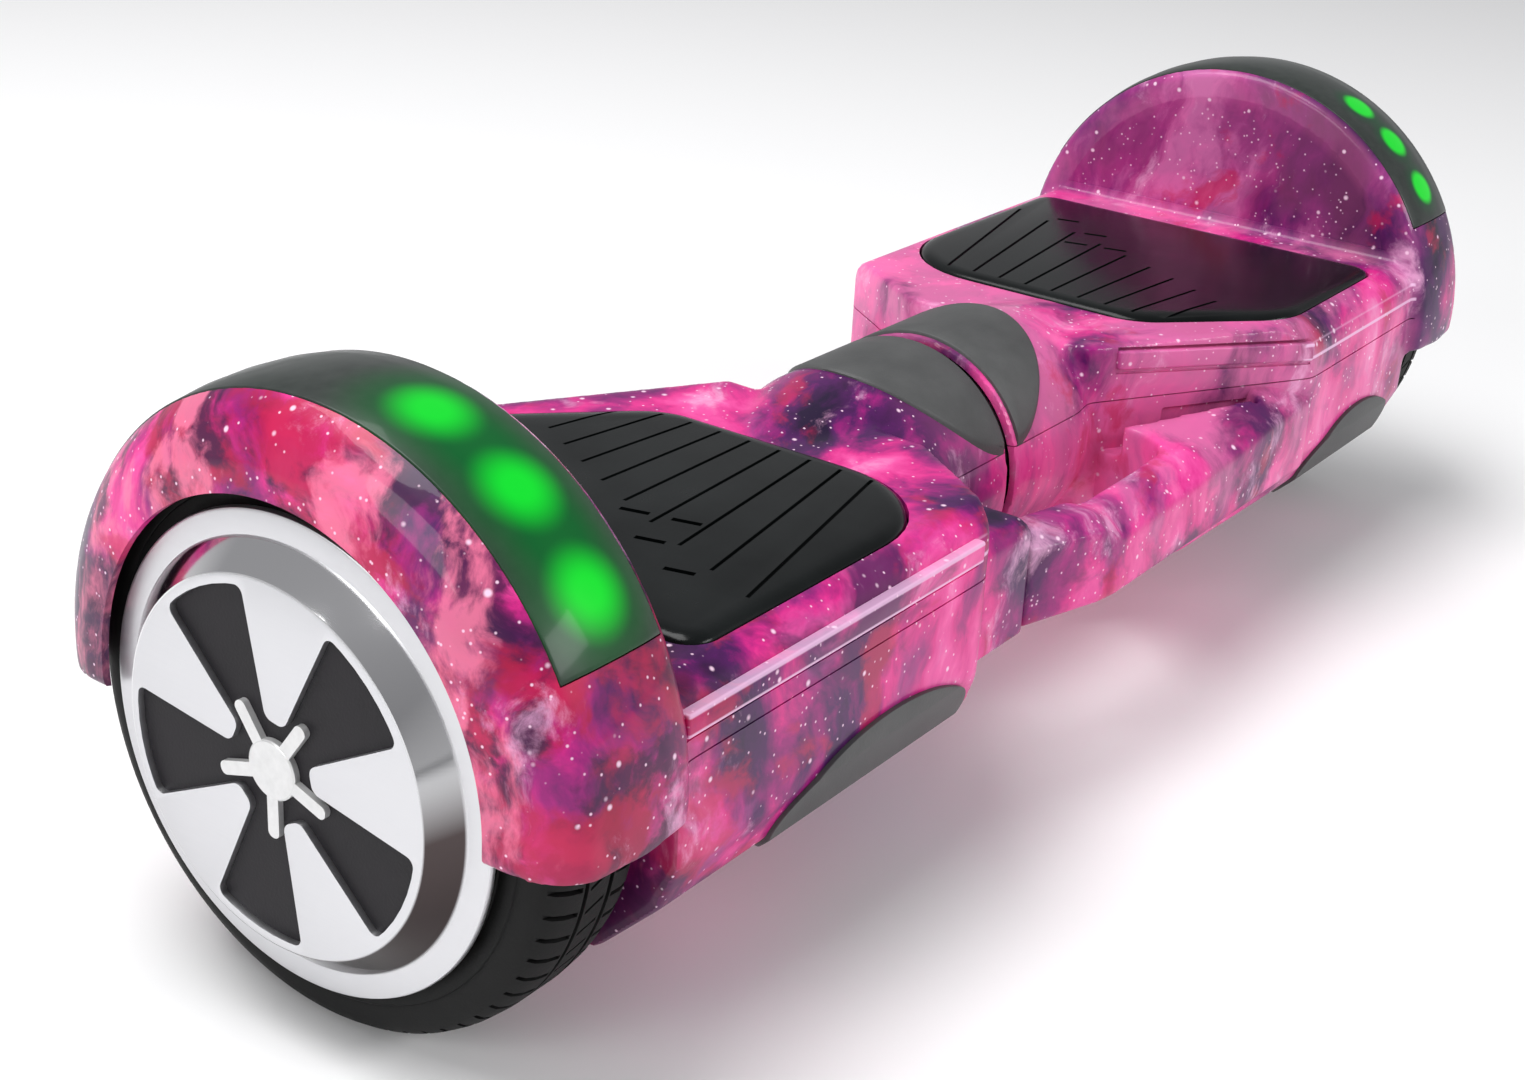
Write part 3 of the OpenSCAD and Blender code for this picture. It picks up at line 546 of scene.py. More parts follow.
sky_print = tint(sky_print, mask_of(cloud(mist_place, 30.0, 10.0, 0.66), 0.57, 0.70, 0.7),
                 (0.88, 0.44, 0.70, 1))

# Two pale lines of painted highlight run along the lip's edges, and white stars of three sizes lie over
# everything.
side_reach = sum_up(tree, "ABSOLUTE", across.outputs["Y"])
from_middle = sum_up(tree, "ABSOLUTE", leftward)
from_lip = sum_up(tree, "ABSOLUTE", sum_up(tree, "SUBTRACT", across.outputs["Z"], LIP_MIDDLE))
on_side, over_line, under_line = (0.0866, 0.0874), (0.0020, 0.0027), (0.0038, 0.0033)
# The lip's two pale lines are a painted highlight on the shoulder side, tinted into the print's colour.
lip = both_masks(mask_of(side_reach, *on_side, 0.75), mask_of(from_lip, *over_line),
                 mask_of(from_lip, *under_line), mask_of(from_middle, 0.2462, 0.2455))
sky_print = tint(sky_print, lip, (0.93, 0.60, 0.86, 1))
STARS = ((150.0, 0.17, 0.62, 0.9), (420.0, 0.24, 0.70, 0.85), (60.0, 0.085, 0.55, 0.95))
for scale, size, share, shine in STARS:
    spots = add_node(tree, "ShaderNodeTexVoronoi", {"Vector": place, "Scale": scale})
    bright = mask_of(spots.outputs["Distance"], size, size * 0.35, shine)
    chosen = add_node(tree, "ShaderNodeSeparateXYZ", {"Vector": spots.outputs["Color"]}).outputs["X"]
    stars = both_masks(bright, sum_up(tree, "GREATER_THAN", chosen, share))
    sky_print = tint(sky_print, stars, (0.95, 0.66, 0.84, 1))
tree.links.new(sky_print, shader.inputs["Base Color"])
roughen(tree, shader, cloud(place, 500.0, 2.0), 0.03)

for side, turn in (("right", False), ("left", True)):
    form = recess_fender(add_ledge(half_form()))
    hollow(form)
    upper, lower = form, form.copy()
    lower.data = form.data.copy()
    scene.collection.objects.link(lower)
    split = SEAM_Z + 0.25
    combine(upper, box((-20, -120, 0), (BODY_END - 0.1, 120, split)), how="DIFFERENCE")
    combine(upper, prism(mat_plan(0.6), 110.2, 130), prism(mat_plan(-2.4), 100, 130), how="DIFFERENCE")
    combine(upper, lens_ring(0.3, 1.5, thick=FENDER_WALL + 2), how="DIFFERENCE")
    combine(lower, box((-20, -120, SEAM_Z - 0.25), (320, 120, 200)),
            box((BODY_END - 0.1, -120, 0), (320, 120, 200)), how="DIFFERENCE")
    for piece in (upper, lower):
        if turn:
            other_half(piece)
        shade(piece)
    clothe(upper, side + "_top_moulding", nebula_finish, "printed_shell", side + "_half", side + "_top_shell")
    clothe(lower, side + "_bottom_moulding", nebula_finish, "printed_shell", side + "_half",
           side + "_bottom_shell")

# ---- Light bands ----
# A smoked polycarbonate band is let into each fender, flush with it. Behind its front part
# three green lights shine through: soft pools on the left band, crisp discs on the right.
LIGHT_X = 267.5
LIGHT_ANGLES = {"left": (38, 56.5, 75), "right": (36, 49.5, 62)}


def light_places(side):
    away = -1 if side == "left" else 1
    return [Vector((away * LIGHT_X, -(FENDER_R - 1) * math.cos(math.radians(a)),
                    FENDER_Z + (FENDER_R - 1) * math.sin(math.radians(a)))) * MM for a in LIGHT_ANGLES[side]]


def pool(tree, place, centre, inner, outer):
    """One inside the inner radius about a point, falling smoothly to zero at the outer one."""
    reach = add_node(tree, "ShaderNodeVectorMath", {0: place, 1: centre}, operation="DISTANCE").outputs["Value"]
    return remap(tree, reach, inner, outer, 1.0, 0.0, interpolation_type="SMOOTHSTEP")


def smoked_lens(side, core, edge, halo, halo_power):
    finish, tree, shader = new_finish(side + "_smoked_lens", roughness=0.35, specular_ior_level=0.2,
                                      coat_weight=0.15, coat_roughness=0.08)
    place = object_place(tree)
    discs = sum_up(tree, "ADD", *[pool(tree, place, c, core, edge) for c in light_places(side)])
    halos = sum_up(tree, "ADD", *[pool(tree, place, c, 0.004, halo) for c in light_places(side)])
    haze = add_node(tree, "ShaderNodeTexNoise", {"Vector": place, "Scale": 260.0, "Detail": 3.0})
    smoke = add_node(tree, "ShaderNodeValToRGB", {"Fac": haze.outputs["Fac"]})
    smoke.color_ramp.elements[0].color = (0.020, 0.026, 0.023, 1)
    smoke.color_ramp.elements[1].color = (0.045, 0.052, 0.048, 1)
    # The smoke's colour is painted green inside each halo, a painted glow; the lights' own glow is the emission
    # below.
    halo_painted_glow = add_node(tree, "ShaderNodeMix", {"Factor": halos, "A": smoke.outputs["Color"],
                                              "B": (0.0, 0.045, 0.018, 1)}, data_type="RGBA")
    tree.links.new(halo_painted_glow.outputs[2], shader.inputs["Base Color"])
    glow = sum_up(tree, "ADD", discs, sum_up(tree, "MULTIPLY", halos, halo_power))
    tree.links.new(glow, shader.inputs["Emission Strength"])
    shader.inputs["Emission Color"].default_value = (0.0, 0.66, 0.005, 1)
    return finish


lens_looks = {"left": smoked_lens("left", 0.003, 0.0150, 0.030, 0.10),
              "right": smoked_lens("right", 0.0050, 0.0085, 0.014, 0.03)}
for side in ("right", "left"):
    lens = lens_ring()
    bevel = lens.modifiers.new("bevel", "BEVEL")
    bevel.width = 0.4 * MM
    bevel.segments = 2
    bevel.limit_method = "ANGLE"
    settle(lens)
    if side == "left":
        other_half(lens)
    clothe(shade(lens), side + "_light_band", lens_looks[side], "smoked_lens", side + "_half",
           side + "_led_lens")

# ---- Neck collars and rub patches ----
# Dark grey ABS trims with a fine spark-eroded grain. A leaf-shaped collar clips over the top
# of each neck, and two lens-shaped rub patches wrap over each half's lower slopes.
COLLAR_L = 44
COLLAR_HALF_W = 41
COLLAR_T = 1.2
COLLAR_START = NECK_GAP / 2 + 2.2
PATCH_T = 1.6
PATCH_Z = 50
PATCH_HALF_H = 21
SOCKET_CLEAR = {"right": 13, "left": 8.5}
SOCKET_PLACE = {"right": (165, 50, 76), "left": (190, -110, 76)}

trim_finish = grained("grey_trim", (0.058, 0.060, 0.060), (0.094, 0.096, 0.096), 30.0, (0.46, 0.56), 0.35,
                      specular_ior_level=0.35)


def loft(rings):
    """A closed skin through rings of points that match one to one, in mm, capped at both ends."""
    count = len(rings[0])
    points = [Vector(p) * MM for ring in rings for p in ring]
    faces = []
    for k in range(len(rings) - 1):
        one, two = k * count, (k + 1) * count
        faces += [[one + i, one + (i + 1) % count, two + (i + 1) % count, two + i] for i in range(count)]
    faces += [list(range(count))[::-1], [(len(rings) - 1) * count + i for i in range(count)]]
    return outward(new_object("loft", points, faces))


def collar():
    """A leaf wrapped over the neck: strips across it, each a small closed arch in section."""
    strips = 48
    rings = []
    for k in range(strips + 1):
        y = COLLAR_HALF_W * math.sin(math.pi * (k / strips - 0.5)) * 0.998
        reach = COLLAR_L * math.sqrt(max(1 - (y / COLLAR_HALF_W) ** 2, 0))
        rise = min(1.0, reach / 6) ** 0.5
        low = NECK_Z + math.sqrt((NECK_R - 0.4) ** 2 - y * y)
        top = NECK_Z + math.sqrt((NECK_R + COLLAR_T * rise) ** 2 - y * y)
        across = [(0, low), (0, top - 0.35), (0.35, top), (reach * 0.25, top), (reach * 0.5, top),
                  (reach * 0.75, top), (max(reach - 1.6, 0.5), top), (max(reach - 0.7, 0.6), top - 0.25 * rise),
                  (max(reach, 0.7), top - 0.8 * rise), (max(reach, 0.7), low)]
        rings.append([(COLLAR_START + x, y, z) for x, z in across])
    return loft(rings)


def rub_patches(low_end, high_end):
    """Two skins that follow the body's lower slopes, each inside a lens-shaped outline from the side."""
    sheet = body_form(-PATCH_T)
    outline = [(math.cos(math.radians(5 * k)), math.sin(math.radians(5 * k))) for k in range(72)]
    both = [prism([(x + half_length * u, PATCH_Z + PATCH_HALF_H * v) for u, v in outline], *reach, "Y")
            for x, half_length, reach in ((*low_end, (0, 120)), (*high_end, (-120, 0)))]
    combine(both[0], both[1])
    combine(sheet, both[0], how="INTERSECT")
    combine(sheet, body_form(0.9), how="DIFFERENCE")
    return bevelled(sheet, 0.7, 3, 40)


for side in ("right", "left"):
    leaf = collar()
    patches = rub_patches((SHOULDER_X + 53, 50), (BODY_END - 48, 40))
    hole = drum([(0, 0), (0, SOCKET_CLEAR[side]), (60, SOCKET_CLEAR[side]), (60, 0)], 0, steps=48)
    across_back = Matrix.Rotation(math.radians(90), 4, "Z")
    hole.data.transform(Matrix.Translation(Vector(SOCKET_PLACE[side]) * MM) @ across_back)
    combine(patches, hole, how="DIFFERENCE")
    if side == "left":
        other_half(leaf)
        other_half(patches)
    clothe(shade(leaf, 50), side + "_neck_leaf", trim_finish, "grey_trim", side + "_half",
           side + "_neck_collar")
    clothe(shade(patches, 50), side + "_rub_patches", trim_finish, "grey_trim", side + "_half",
           side + "_bumpers")

# ---- Foot mats ----
# Moulded black rubber with a high gloss. Each mat has a broad soft edge, a fan of fine grooves
# that run in from the wheel side, and four short bars; it floats on two switches.
MAT_TOP = 118
MAT_BASE = 112
FAN_X = -120
FAN_AT = 112
GROOVES = 9
GROOVE_STEP = 12
FIRST_GROOVE = -44
GROOVE_START = 103
SHORT_BARS = ((171, 12), (167, 28), (184, 28), (195, 47))

mat_finish = grained("mat_rubber", (0.002, 0.003, 0.003), (0.007, 0.009, 0.009), 22.0, (0.14, 0.28), 0.10,
                     specular_ior_level=0.20)


def mat_grooves():
    """The fan of fine grooves, and four short bars across it."""
    cuts = []
    for k in range(GROOVES):
        y = FIRST_GROOVE + GROOVE_STEP * k
        start = Vector((GROOVE_START, y * (GROOVE_START - FAN_X) / (FAN_AT - FAN_X)))
        reach = 138 + (y - FIRST_GROOVE) * 0.6
        end = Vector((reach, y * (reach - FAN_X) / (FAN_AT - FAN_X)))
        cuts.append(bar_along(start, end, 0.65, MAT_TOP - 1.1, MAT_TOP + 2))
    for x, y in SHORT_BARS:
        cuts.append(bar_along((x + 1, y - 4.5), (x - 1.5, y + 4.5), 1.1, MAT_TOP - 1.3, MAT_TOP + 2))
    return cuts


for side in ("right", "left"):
    layers = ((0, MAT_BASE), (0, 115.2), (-0.3, 116.0), (-1.0, 116.8), (-2.4, 117.5), (-4.2, 117.85),
              (-6.5, MAT_TOP))
    mat = loft([[(x, y, z) for x, y in mat_plan(grow)] for grow, z in layers])
    combine(mat, *mat_grooves(), how="DIFFERENCE")
    if side == "left":
        other_half(mat)
    clothe(shade(mat, 40), side + "_mat", mat_finish, "mat_rubber", side + "_mat", side + "_foot_mat")

# ---- Tyres ----
# Solid black rubber, 168 mm across. The tread is two rows of shoulder blocks either side of a
# centre rib, cut by fine cross grooves, with two thin rings moulded into each side wall.
WHEEL_X = 270
TYRE_R = 84
RIM_R = 62
TREAD_BLOCKS = 66
TREAD_DEPTH = 3.4
RIB_CUT_DEPTH = 2.2
RIB_HALF_W = 5

tyre_finish = grained("tyre_rubber", (0.004, 0.004, 0.004), (0.012, 0.012, 0.012), 55.0, (0.5, 0.75), 0.25,
                      specular_ior_level=0.16)


def tyre_profile():
    side = [(-18, RIM_R), (-18.4, 64.5), (-18.9, 66.0), (-18.5, 66.6), (-18.9, 67.4), (-19, 72), (-18.6, 72.4),
            (-18.9, 73.2), (-18.4, 77.5), (-17.2, 80.4), (-15, 82.2), (-11.5, 83.3), (-6, 83.9)]
    return [(WHEEL_X + x, r) for x, r in side] + [(WHEEL_X - x, r) for x, r in reversed(side)]


def tread_cuts():
    """Cross grooves over both shoulders, half a block apart, and short ones in the centre rib."""
    points, faces = [], []

    def groove(angle, x0, x1, half_wide, floor_r, skew):
        first = len(points)
        for x, lean in ((x0, -skew), (x1, skew)):
            for r, wide in ((floor_r, half_wide * 0.8), (TYRE_R + 3, half_wide)):
                for s in (-1, 1):
                    turn = angle + math.radians(lean) + s * wide / TYRE_R
                    points.append(Vector((WHEEL_X + x, r * math.cos(turn), AXLE_Z + r * math.sin(turn))) * MM)
        faces.extend([[first + i for i in f] for f in
                      ((0, 1, 3, 2), (4, 6, 7, 5), (0, 4, 5, 1), (1, 5, 7, 3), (3, 7, 6, 2), (2, 6, 4, 0))])

    for k in range(TREAD_BLOCKS):
        angle = 2 * math.pi * k / TREAD_BLOCKS
        half_step = math.pi / TREAD_BLOCKS
        groove(angle, -20, -6.5, 0.9, TYRE_R - TREAD_DEPTH, 1.2)
        groove(angle + half_step, 6.5, 20, 0.9, TYRE_R - TREAD_DEPTH, 1.2)
        groove(angle + half_step / 2, -3.2, 3.2, 0.7, TYRE_R - RIB_CUT_DEPTH, -0.8)
    return outward(new_object("tread_cuts", points, faces))


for side in ("right", "left"):
    tyre = drum(tyre_profile(), AXLE_Z, steps=180)
    rings = [drum([(x - 0.8, TYRE_R - 2.4), (x + 0.8, TYRE_R - 2.4), (x + 0.9, TYRE_R + 2),
                   (x - 0.9, TYRE_R + 2)], AXLE_Z, steps=180)
             for x in (WHEEL_X - RIB_HALF_W, WHEEL_X + RIB_HALF_W)]
    combine(tyre, tread_cuts(), *rings, how="DIFFERENCE")
    if side == "left":
        other_half(tyre)
    clothe(shade(tyre, 30), side + "_tread_tyre", tyre_finish, "tyre_rubber", side + "_wheel", side + "_tyre")

# ---- Hubcaps ----
# A pressed aluminium cap clips over each hub motor: a flat brushed ring, a polished wall, and
# a raised face with five petal windows. A black disc shows through them, and a silver badge
# with five fingers sits over the axle's end.
RING_X = 294
RING_R = 68
CAP_X = 302
CAP_BASE_R = 60.3
CAP_FACE_R = 53
CAP_T = 2
PETALS = 5
PETAL_TURN = 118
PETAL_HALF = 18.5
PETAL_R = 50.5
TONGUE_R = 15
TONGUE_HALF = math.radians(13)
BOSS_R = 8.5
FINGER_R = 20
FINGER_HALF_W = 2.0
WALL_STARTS = (0.0528, 0.0534)
WALL_ENDS = (0.0600, 0.0606)

cap_finish, tree, shader = new_finish("hubcap_silver", metallic=1.0, roughness=0.2)
place = object_place(tree)
split = add_node(tree, "ShaderNodeSeparateXYZ", {"Vector": place})
from_axle = sum_up(tree, "SUBTRACT", split.outputs["Z"], AXLE_Z * MM)
face_on = add_node(tree, "ShaderNodeCombineXYZ", {"X": 0.0, "Y": split.outputs["Y"], "Z": from_axle})
reach = add_node(tree, "ShaderNodeVectorMath", {0: face_on.outputs["Vector"]},
                 operation="LENGTH").outputs["Value"]
wall_part = sum_up(tree, "MULTIPLY", remap(tree, reach, *WALL_STARTS), remap(tree, reach, *WALL_ENDS, 1.0, 0.0))
brush_place = add_node(tree, "ShaderNodeCombineXYZ", {"X": 0.0, "Y": split.outputs["Y"],
                                                      "Z": sum_up(tree, "MULTIPLY", from_axle, 40.0)})
brush = add_node(tree, "ShaderNodeTexNoise", {"Vector": brush_place.outputs["Vector"], "Scale": 40.0,
                                              "Detail": 4.0}).outputs["Fac"]
satin = remap(tree, brush, 0.0, 1.0, 0.30, 0.46)
rough = add_node(tree, "ShaderNodeMix", {"Factor": wall_part, "A": satin, "B": 0.10}, data_type="FLOAT")
tree.links.new(rough.outputs[0], shader.inputs["Roughness"])
# The polished wall's colour is a painted reflection: dark low at the front, where it would mirror the shade
# under the wheel, and pale higher up.
painted_reflection_slope = sum_up(tree, "ADD", sum_up(tree, "MULTIPLY", split.outputs["Y"], 0.55), from_axle)
wall_painted_reflection = ramp_in(tree, remap(tree, painted_reflection_slope, -0.052, 0.055), [
    (0.0, (0.050, 0.040, 0.040)), (0.20, (0.075, 0.060, 0.060)), (0.36, (0.50, 0.50, 0.51)),
    (0.8, (0.90, 0.90, 0.91))])
silver = add_node(tree, "ShaderNodeMix", {"Factor": wall_part, 6: (0.66, 0.66, 0.68, 1), 7: wall_painted_reflection},
                  data_type="RGBA")
tree.links.new(silver.outputs[2], shader.inputs["Base Color"])
roughen(tree, shader, brush, 0.05, 0.0001)

disc_finish = grained("black_plastic", (0.010, 0.009, 0.011), (0.019, 0.017, 0.020), 60.0, (0.40, 0.55), 0.3,
                      specular_ior_level=0.18)
badge_finish = grained("badge_silver", (0.66, 0.66, 0.66), (0.74, 0.74, 0.74), 300.0, (0.30, 0.40), 0.05,
                       metallic=0.5)


def star_window():
    """The black star seen through the cap: five petals that meet round the boss."""
    corners = []
    step, tongue = 2 * math.pi / PETALS, math.radians(180 / PETALS)
    for k in range(PETALS):
        middle = math.radians(PETAL_TURN) + step * k
        half = math.radians(PETAL_HALF)
        corners += [(PETAL_R, middle - half, 4.0)]
        corners += [(PETAL_R, middle - half + half * j / 3, 0) for j in range(1, 6)]
        corners += [(PETAL_R, middle + half, 4.0)]
        corners += [(TONGUE_R, middle + tongue - TONGUE_HALF, 3.2),
                    (TONGUE_R, middle + tongue + TONGUE_HALF, 3.2)]
    return rounded([(r * math.cos(a), AXLE_Z + r * math.sin(a), bend) for r, a, bend in corners], 0, 6)


def hubcap():
    profile = [(288, 55.8), (288, 59.3), (RING_X - CAP_T, 59.7), (RING_X - CAP_T, RING_R),
               (RING_X - 1.0, RING_R), (RING_X - 0.3, RING_R - 0.3), (RING_X, RING_R - 1.0),
               (RING_X, CAP_BASE_R + 0.5), (RING_X + 0.4, CAP_BASE_R), (CAP_X - 1.1, CAP_FACE_R + 1.0),
               (CAP_X - 0.35, CAP_FACE_R + 0.35), (CAP_X, CAP_FACE_R - 0.5), (CAP_X, 0), (CAP_X - CAP_T, 0),
               (CAP_X - CAP_T, 51.5), (RING_X - CAP_T, 55.8)]
    cap = drum(profile, AXLE_Z, steps=192)
    combine(cap, prism(star_window(), CAP_X - CAP_T - 1, CAP_X + 2, "X"), how="DIFFERENCE")
    return bevelled(cap, 0.45)


def badge():
    boss = drum([(CAP_X - CAP_T, 0), (CAP_X - CAP_T, BOSS_R), (CAP_X - 0.4, BOSS_R),
                 (CAP_X - 0.05, BOSS_R - 0.5), (CAP_X, BOSS_R - 1.5), (CAP_X, 0)], AXLE_Z, steps=96)
    for k in range(PETALS):
        angle = math.radians(PETAL_TURN + 8 + 360 * k / PETALS)
        along, across = Vector((math.cos(angle), math.sin(angle))), Vector((-math.sin(angle), math.cos(angle)))
        inner, outer, half = along * 2, along * FINGER_R, across * FINGER_HALF_W
        corners = [inner - half, inner + half, outer + half, outer - half]
        outline = rounded([(c.x, c.y + AXLE_Z, 1.8) for c in corners], 1.8, 6)
        combine(boss, prism(outline, CAP_X - CAP_T, CAP_X - 0.2, "X"))
    return bevelled(boss, 0.25, 2, 50)


for side in ("right", "left"):
    cap, emblem = hubcap(), badge()
    backing = drum([(CAP_X - CAP_T - 1.5, 0), (CAP_X - CAP_T - 1.5, 51.0), (CAP_X - CAP_T - 0.3, 51.4),
                    (CAP_X - CAP_T, 51.2), (CAP_X - CAP_T, 0)], AXLE_Z, steps=128)
    if side == "left":
        for piece in (cap, emblem, backing):
            other_half(piece)
    clothe(shade(cap, 25), side + "_wheel_cap", cap_finish, "hubcap_silver", side + "_wheel", side + "_hubcap")
    clothe(shade(emblem, 25), side + "_cap_badge", badge_finish, "hubcap_silver", side + "_wheel",
           side + "_hub_badge")
    clothe(shade(backing), side + "_cap_backing", disc_finish, "black_plastic", side + "_wheel",
           side + "_hub_disc")

# ---- Carry handle ----
# The grip is a hollow ABS moulding in the same print, screwed to the right half's front slope.
# It reaches across the neck to face a block moulded on the left half, with a gap to twist in.
GRIP_FRONT = -90
GRIP_BACK = -72
GRIP_START = -48
GRIP_BEND = -8
GRIP_SET_BACK = 12
GRIP_LOW = 56
BLOCK_START = -94
BLOCK_END = -49.5
BLOCK_FRONT = -79
BLOCK_BACK = -54


def grip_section(front, top, lean):
    """The grip's (Y, Z) section: upright front, a broad slope above it, and a flat top."""
    return [(front, GRIP_LOW + 3), (front + 3, GRIP_LOW), (-20, GRIP_LOW), (-20, top),
            (front + lean, top), (front + lean * 0.45, top - 4), (front, top - lean * 0.75)]


def grip():
    plan = prism(rounded([(GRIP_START, GRIP_FRONT + GRIP_SET_BACK, 2), (GRIP_BEND, GRIP_FRONT, 2),
                          (TAPER_END + 2, GRIP_FRONT, 0), (TAPER_END + 2, -70, 0),
                          (TAPER_START + 22, -38, 0), (66, -38, 0), (61, GRIP_BACK - 0.5, 16),
                          (GRIP_BEND + 6, GRIP_BACK, 8), (GRIP_START, GRIP_BACK + GRIP_SET_BACK - 2, 3)], 0, 8),
                 GRIP_LOW - 5, 120)
    stations = ((-60, -76, 89.5, 7), (-14, -89, 88.5, 8), (-6, GRIP_FRONT, 86, 11), (40, GRIP_FRONT, 87, 10),
                (75, GRIP_FRONT, 89, 10), (110, GRIP_FRONT, 93, 11), (160, GRIP_FRONT, 95, 11))
    body = loft([[(x, y, z) for y, z in grip_section(front, top, lean)] for x, front, top, lean in stations])
    combine(plan, body, how="INTERSECT")
    slant = Vector((TAPER_END - TAPER_START, NECK_R - 5 - HALF_W)).normalized()
    away = Vector((slant.y, -slant.x))
    start = Vector((TAPER_START, 5 - NECK_R))
    slot = bar_along(start - slant * 6 + away * 3, start + slant * 72 + away * 3, 5, 76, 130)
    combine(plan, slot, how="DIFFERENCE")
    soften(plan, 1.1, 12)
    return combine(plan, body_form(0.8), how="DIFFERENCE")


def block():
    base = prism(rounded([(BLOCK_START, BLOCK_FRONT, 3), (BLOCK_END, BLOCK_FRONT, 2.5),
                          (BLOCK_END, BLOCK_BACK, 2.5), (BLOCK_START, BLOCK_BACK, 1)], 0, 5), GRIP_LOW, 92)
    head = loft([[(x, y, z) for x, y in ((BLOCK_START, BLOCK_FRONT + a), (BLOCK_END - a, BLOCK_FRONT + a),
                                         (BLOCK_END - a, BLOCK_BACK - a), (BLOCK_START, BLOCK_BACK - a))]
                 for a, z in ((1.2, 91), (1.2, 94), (3.5, 97))])
    combine(base, head)
    soften(base, 1.1, 4)
    keep_out = body_form(0.8)
    other_half(keep_out)
    return combine(base, keep_out, how="DIFFERENCE")


clothe(shade(grip(), 40), "grip_moulding", nebula_finish, "printed_shell", "right_half", "carry_handle")
clothe(shade(block(), 40), "grip_block", nebula_finish, "printed_shell", "left_half", "handle_block")

# ---- Charging socket, its cap and the power button ----
# All three sit in the backs of the bottom shells. The inlet is a black flanged sleeve under a
# hinged rubber cap; the button is a brushed metal dome with a blue ring round it.
BUTTON_X = -190
FITTING_Z = 76

fitting_finish = grained("black_fitting", (0.007, 0.007, 0.008), (0.016, 0.016, 0.017), 80.0, (0.35, 0.45), 0.2,
                         specular_ior_level=0.4)
cap_rubber = grained("cap_rubber", (0.010, 0.010, 0.010), (0.022, 0.022, 0.022), 90.0, (0.6, 0.75), 0.4,
                     specular_ior_level=0.2)
button_finish, tree, shader = new_finish("button_metal", metallic=0.9, roughness=0.3)
place = object_place(tree)
apart = add_node(tree, "ShaderNodeVectorMath", {0: place, 1: Vector((BUTTON_X, HALF_W, FITTING_Z)) * MM},
                 operation="SUBTRACT").outputs["Vector"]
flat = add_node(tree, "ShaderNodeVectorMath", {0: apart, 1: (100, 0, 100)},
                operation="MULTIPLY").outputs["Vector"]
reach = add_node(tree, "ShaderNodeVectorMath", {0: flat}, operation="LENGTH").outputs["Value"]
tree.links.new(ramp_in(tree, reach, [(0.40, (0.45, 0.45, 0.47)), (0.42, (0.02, 0.16, 0.55)),
                                     (0.50, (0.02, 0.16, 0.55)), (0.52, (0.50, 0.50, 0.52))]),
               shader.inputs["Base Color"])


def dress(finish, *names):
    """Gives a finish to pieces that are used just as they were modelled."""
    for name in names:
        for slot in nodes[name].material_slots:
            slot.material = finish


dress(fitting_finish, "charge_socket")
dress(cap_rubber, "charge_cap")
dress(button_finish, "power_button")

# ---- Chassis, clamps and screws ----
# Each half is carried by a die-cast aluminium frame, sand-blasted and dull. Its clamps hold the
# axle's flats, and zinc-plated screws hold the clamps and the shells.
cast_finish = grained("cast_aluminium", (0.42, 0.42, 0.43), (0.60, 0.60, 0.61), 45.0, (0.42, 0.6), 0.8,
                      metallic=0.9)
screw_finish = grained("screw_steel", (0.42, 0.40, 0.36), (0.62, 0.60, 0.55), 300.0, (0.25, 0.4), 0.2,
                       metallic=1.0)
dress(cast_finish, "left_chassis", "right_chassis", "left_axle_clamp", "right_axle_clamp")
dress(screw_finish, "left_shell_screws", "right_shell_screws", "left_clamp_screws", "right_clamp_screws",
      "pivot_circlip")

# ---- Pivot ----
# A ground steel tube joins the halves and turns in two flanged bronze bushes, held endways by a
# circlip. The axles and the wheel bearings' rings are ground steel too.
shaft_finish = grained("shaft_steel", (0.50, 0.50, 0.51), (0.66, 0.66, 0.67), 200.0, (0.16, 0.26), 0.1,
                       metallic=1.0)
bronze_finish = grained("bronze", (0.42, 0.24, 0.10), (0.60, 0.38, 0.18), 260.0, (0.32, 0.5), 0.6, metallic=1.0)
dress(shaft_finish, "pivot_shaft", "left_axle", "right_axle", "left_wheel_bearings", "right_wheel_bearings")
dress(bronze_finish, "pivot_bushes")

# ---- Hub motors ----
# Turned aluminium rims and covers, nickel-plated magnets, a stack of steel laminations and
# enamelled copper coils. They show only where the wheel is open.
rim_finish = grained("motor_aluminium", (0.50, 0.50, 0.52), (0.66, 0.66, 0.68), 140.0, (0.25, 0.4), 0.3,
                     metallic=1.0)
magnet_finish = grained("magnet", (0.55, 0.53, 0.50), (0.66, 0.64, 0.61), 120.0, (0.18, 0.3), 0.1, metallic=1.0)


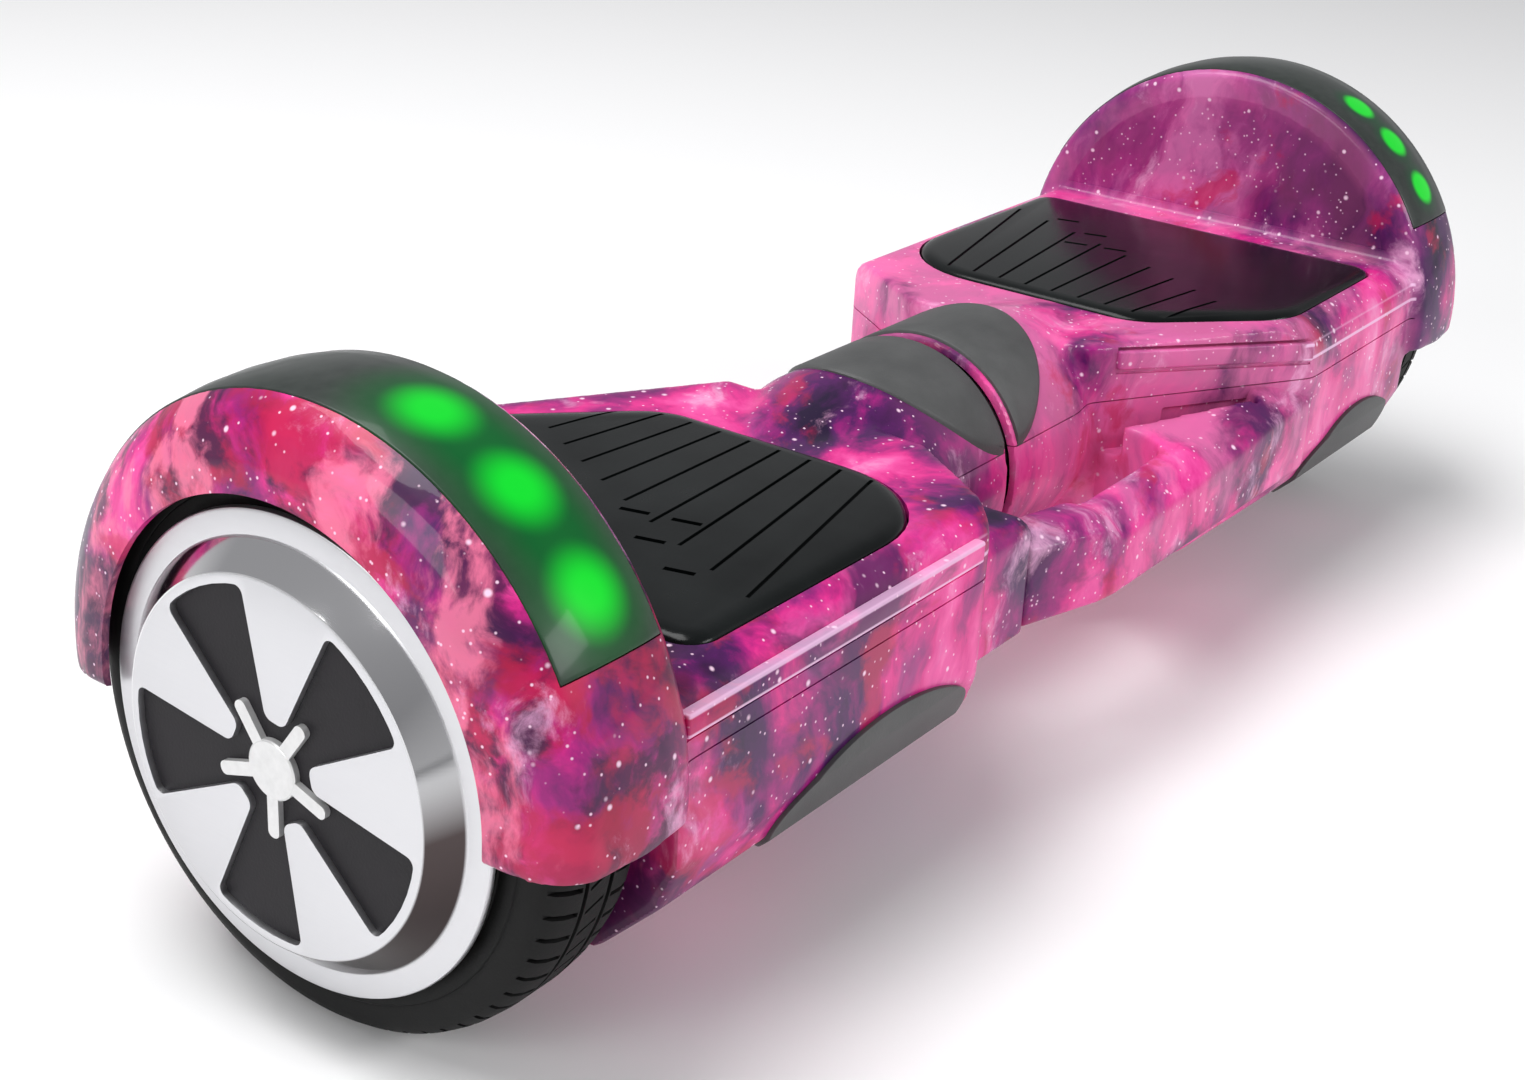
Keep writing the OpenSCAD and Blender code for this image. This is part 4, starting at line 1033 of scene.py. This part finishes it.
def ribbed(name, dark, light, across, metallic, rough):
    """A finish of fine parallel lines: laminations or turns of wire."""
    finish, tree, shader = new_finish(name, metallic=metallic, roughness=rough)
    place = object_place(tree)
    lines = add_node(tree, "ShaderNodeTexWave", {"Vector": place, "Scale": across, "Distortion": 0.6},
                     bands_direction="X").outputs["Fac"]
    tree.links.new(ramp_in(tree, lines, [(0.2, dark), (0.8, light)]), shader.inputs["Base Color"])
    roughen(tree, shader, lines, 0.5, 0.0003)
    return finish


dress(rim_finish, "left_motor_rim", "right_motor_rim", "left_motor_cover", "right_motor_cover")
dress(magnet_finish, "left_magnets", "right_magnets")
dress(ribbed("motor_steel", (0.16, 0.16, 0.17), (0.34, 0.34, 0.35), 320.0, 0.9, 0.4),
      "left_stator", "right_stator")
dress(ribbed("copper", (0.40, 0.12, 0.04), (0.78, 0.33, 0.14), 200.0, 0.9, 0.3),
      "left_windings", "right_windings")

# ---- Battery, boards and cables ----
# A battery in blue shrink-wrap lies on the right half's chassis. The circuit boards are green
# fibreglass, and the cables have black PVC jackets; one crosses inside the pivot tube.
wrap_finish = grained("battery_case", (0.012, 0.055, 0.24), (0.022, 0.090, 0.34), 50.0, (0.22, 0.4), 0.3)
jacket_finish = grained("cable_jacket", (0.010, 0.010, 0.010), (0.020, 0.020, 0.020), 70.0, (0.45, 0.6), 0.3)
board_finish, tree, shader = new_finish("circuit_board", roughness=0.32)
place = object_place(tree)
tracks = add_node(tree, "ShaderNodeTexVoronoi", {"Vector": place, "Scale": 260.0}, distance="CHEBYCHEV")
tree.links.new(ramp_in(tree, tracks.outputs["Distance"], [
    (0.10, (0.62, 0.45, 0.16)), (0.16, (0.010, 0.10, 0.035)), (0.55, (0.008, 0.075, 0.028)),
    (0.62, (0.020, 0.16, 0.06))]), shader.inputs["Base Color"])
dress(wrap_finish, "battery_pack")
dress(jacket_finish, "left_motor_cable", "right_motor_cable", "link_cable")
dress(board_finish, "left_led_strip", "right_led_strip", "left_gyro_board", "right_gyro_board", "control_board")
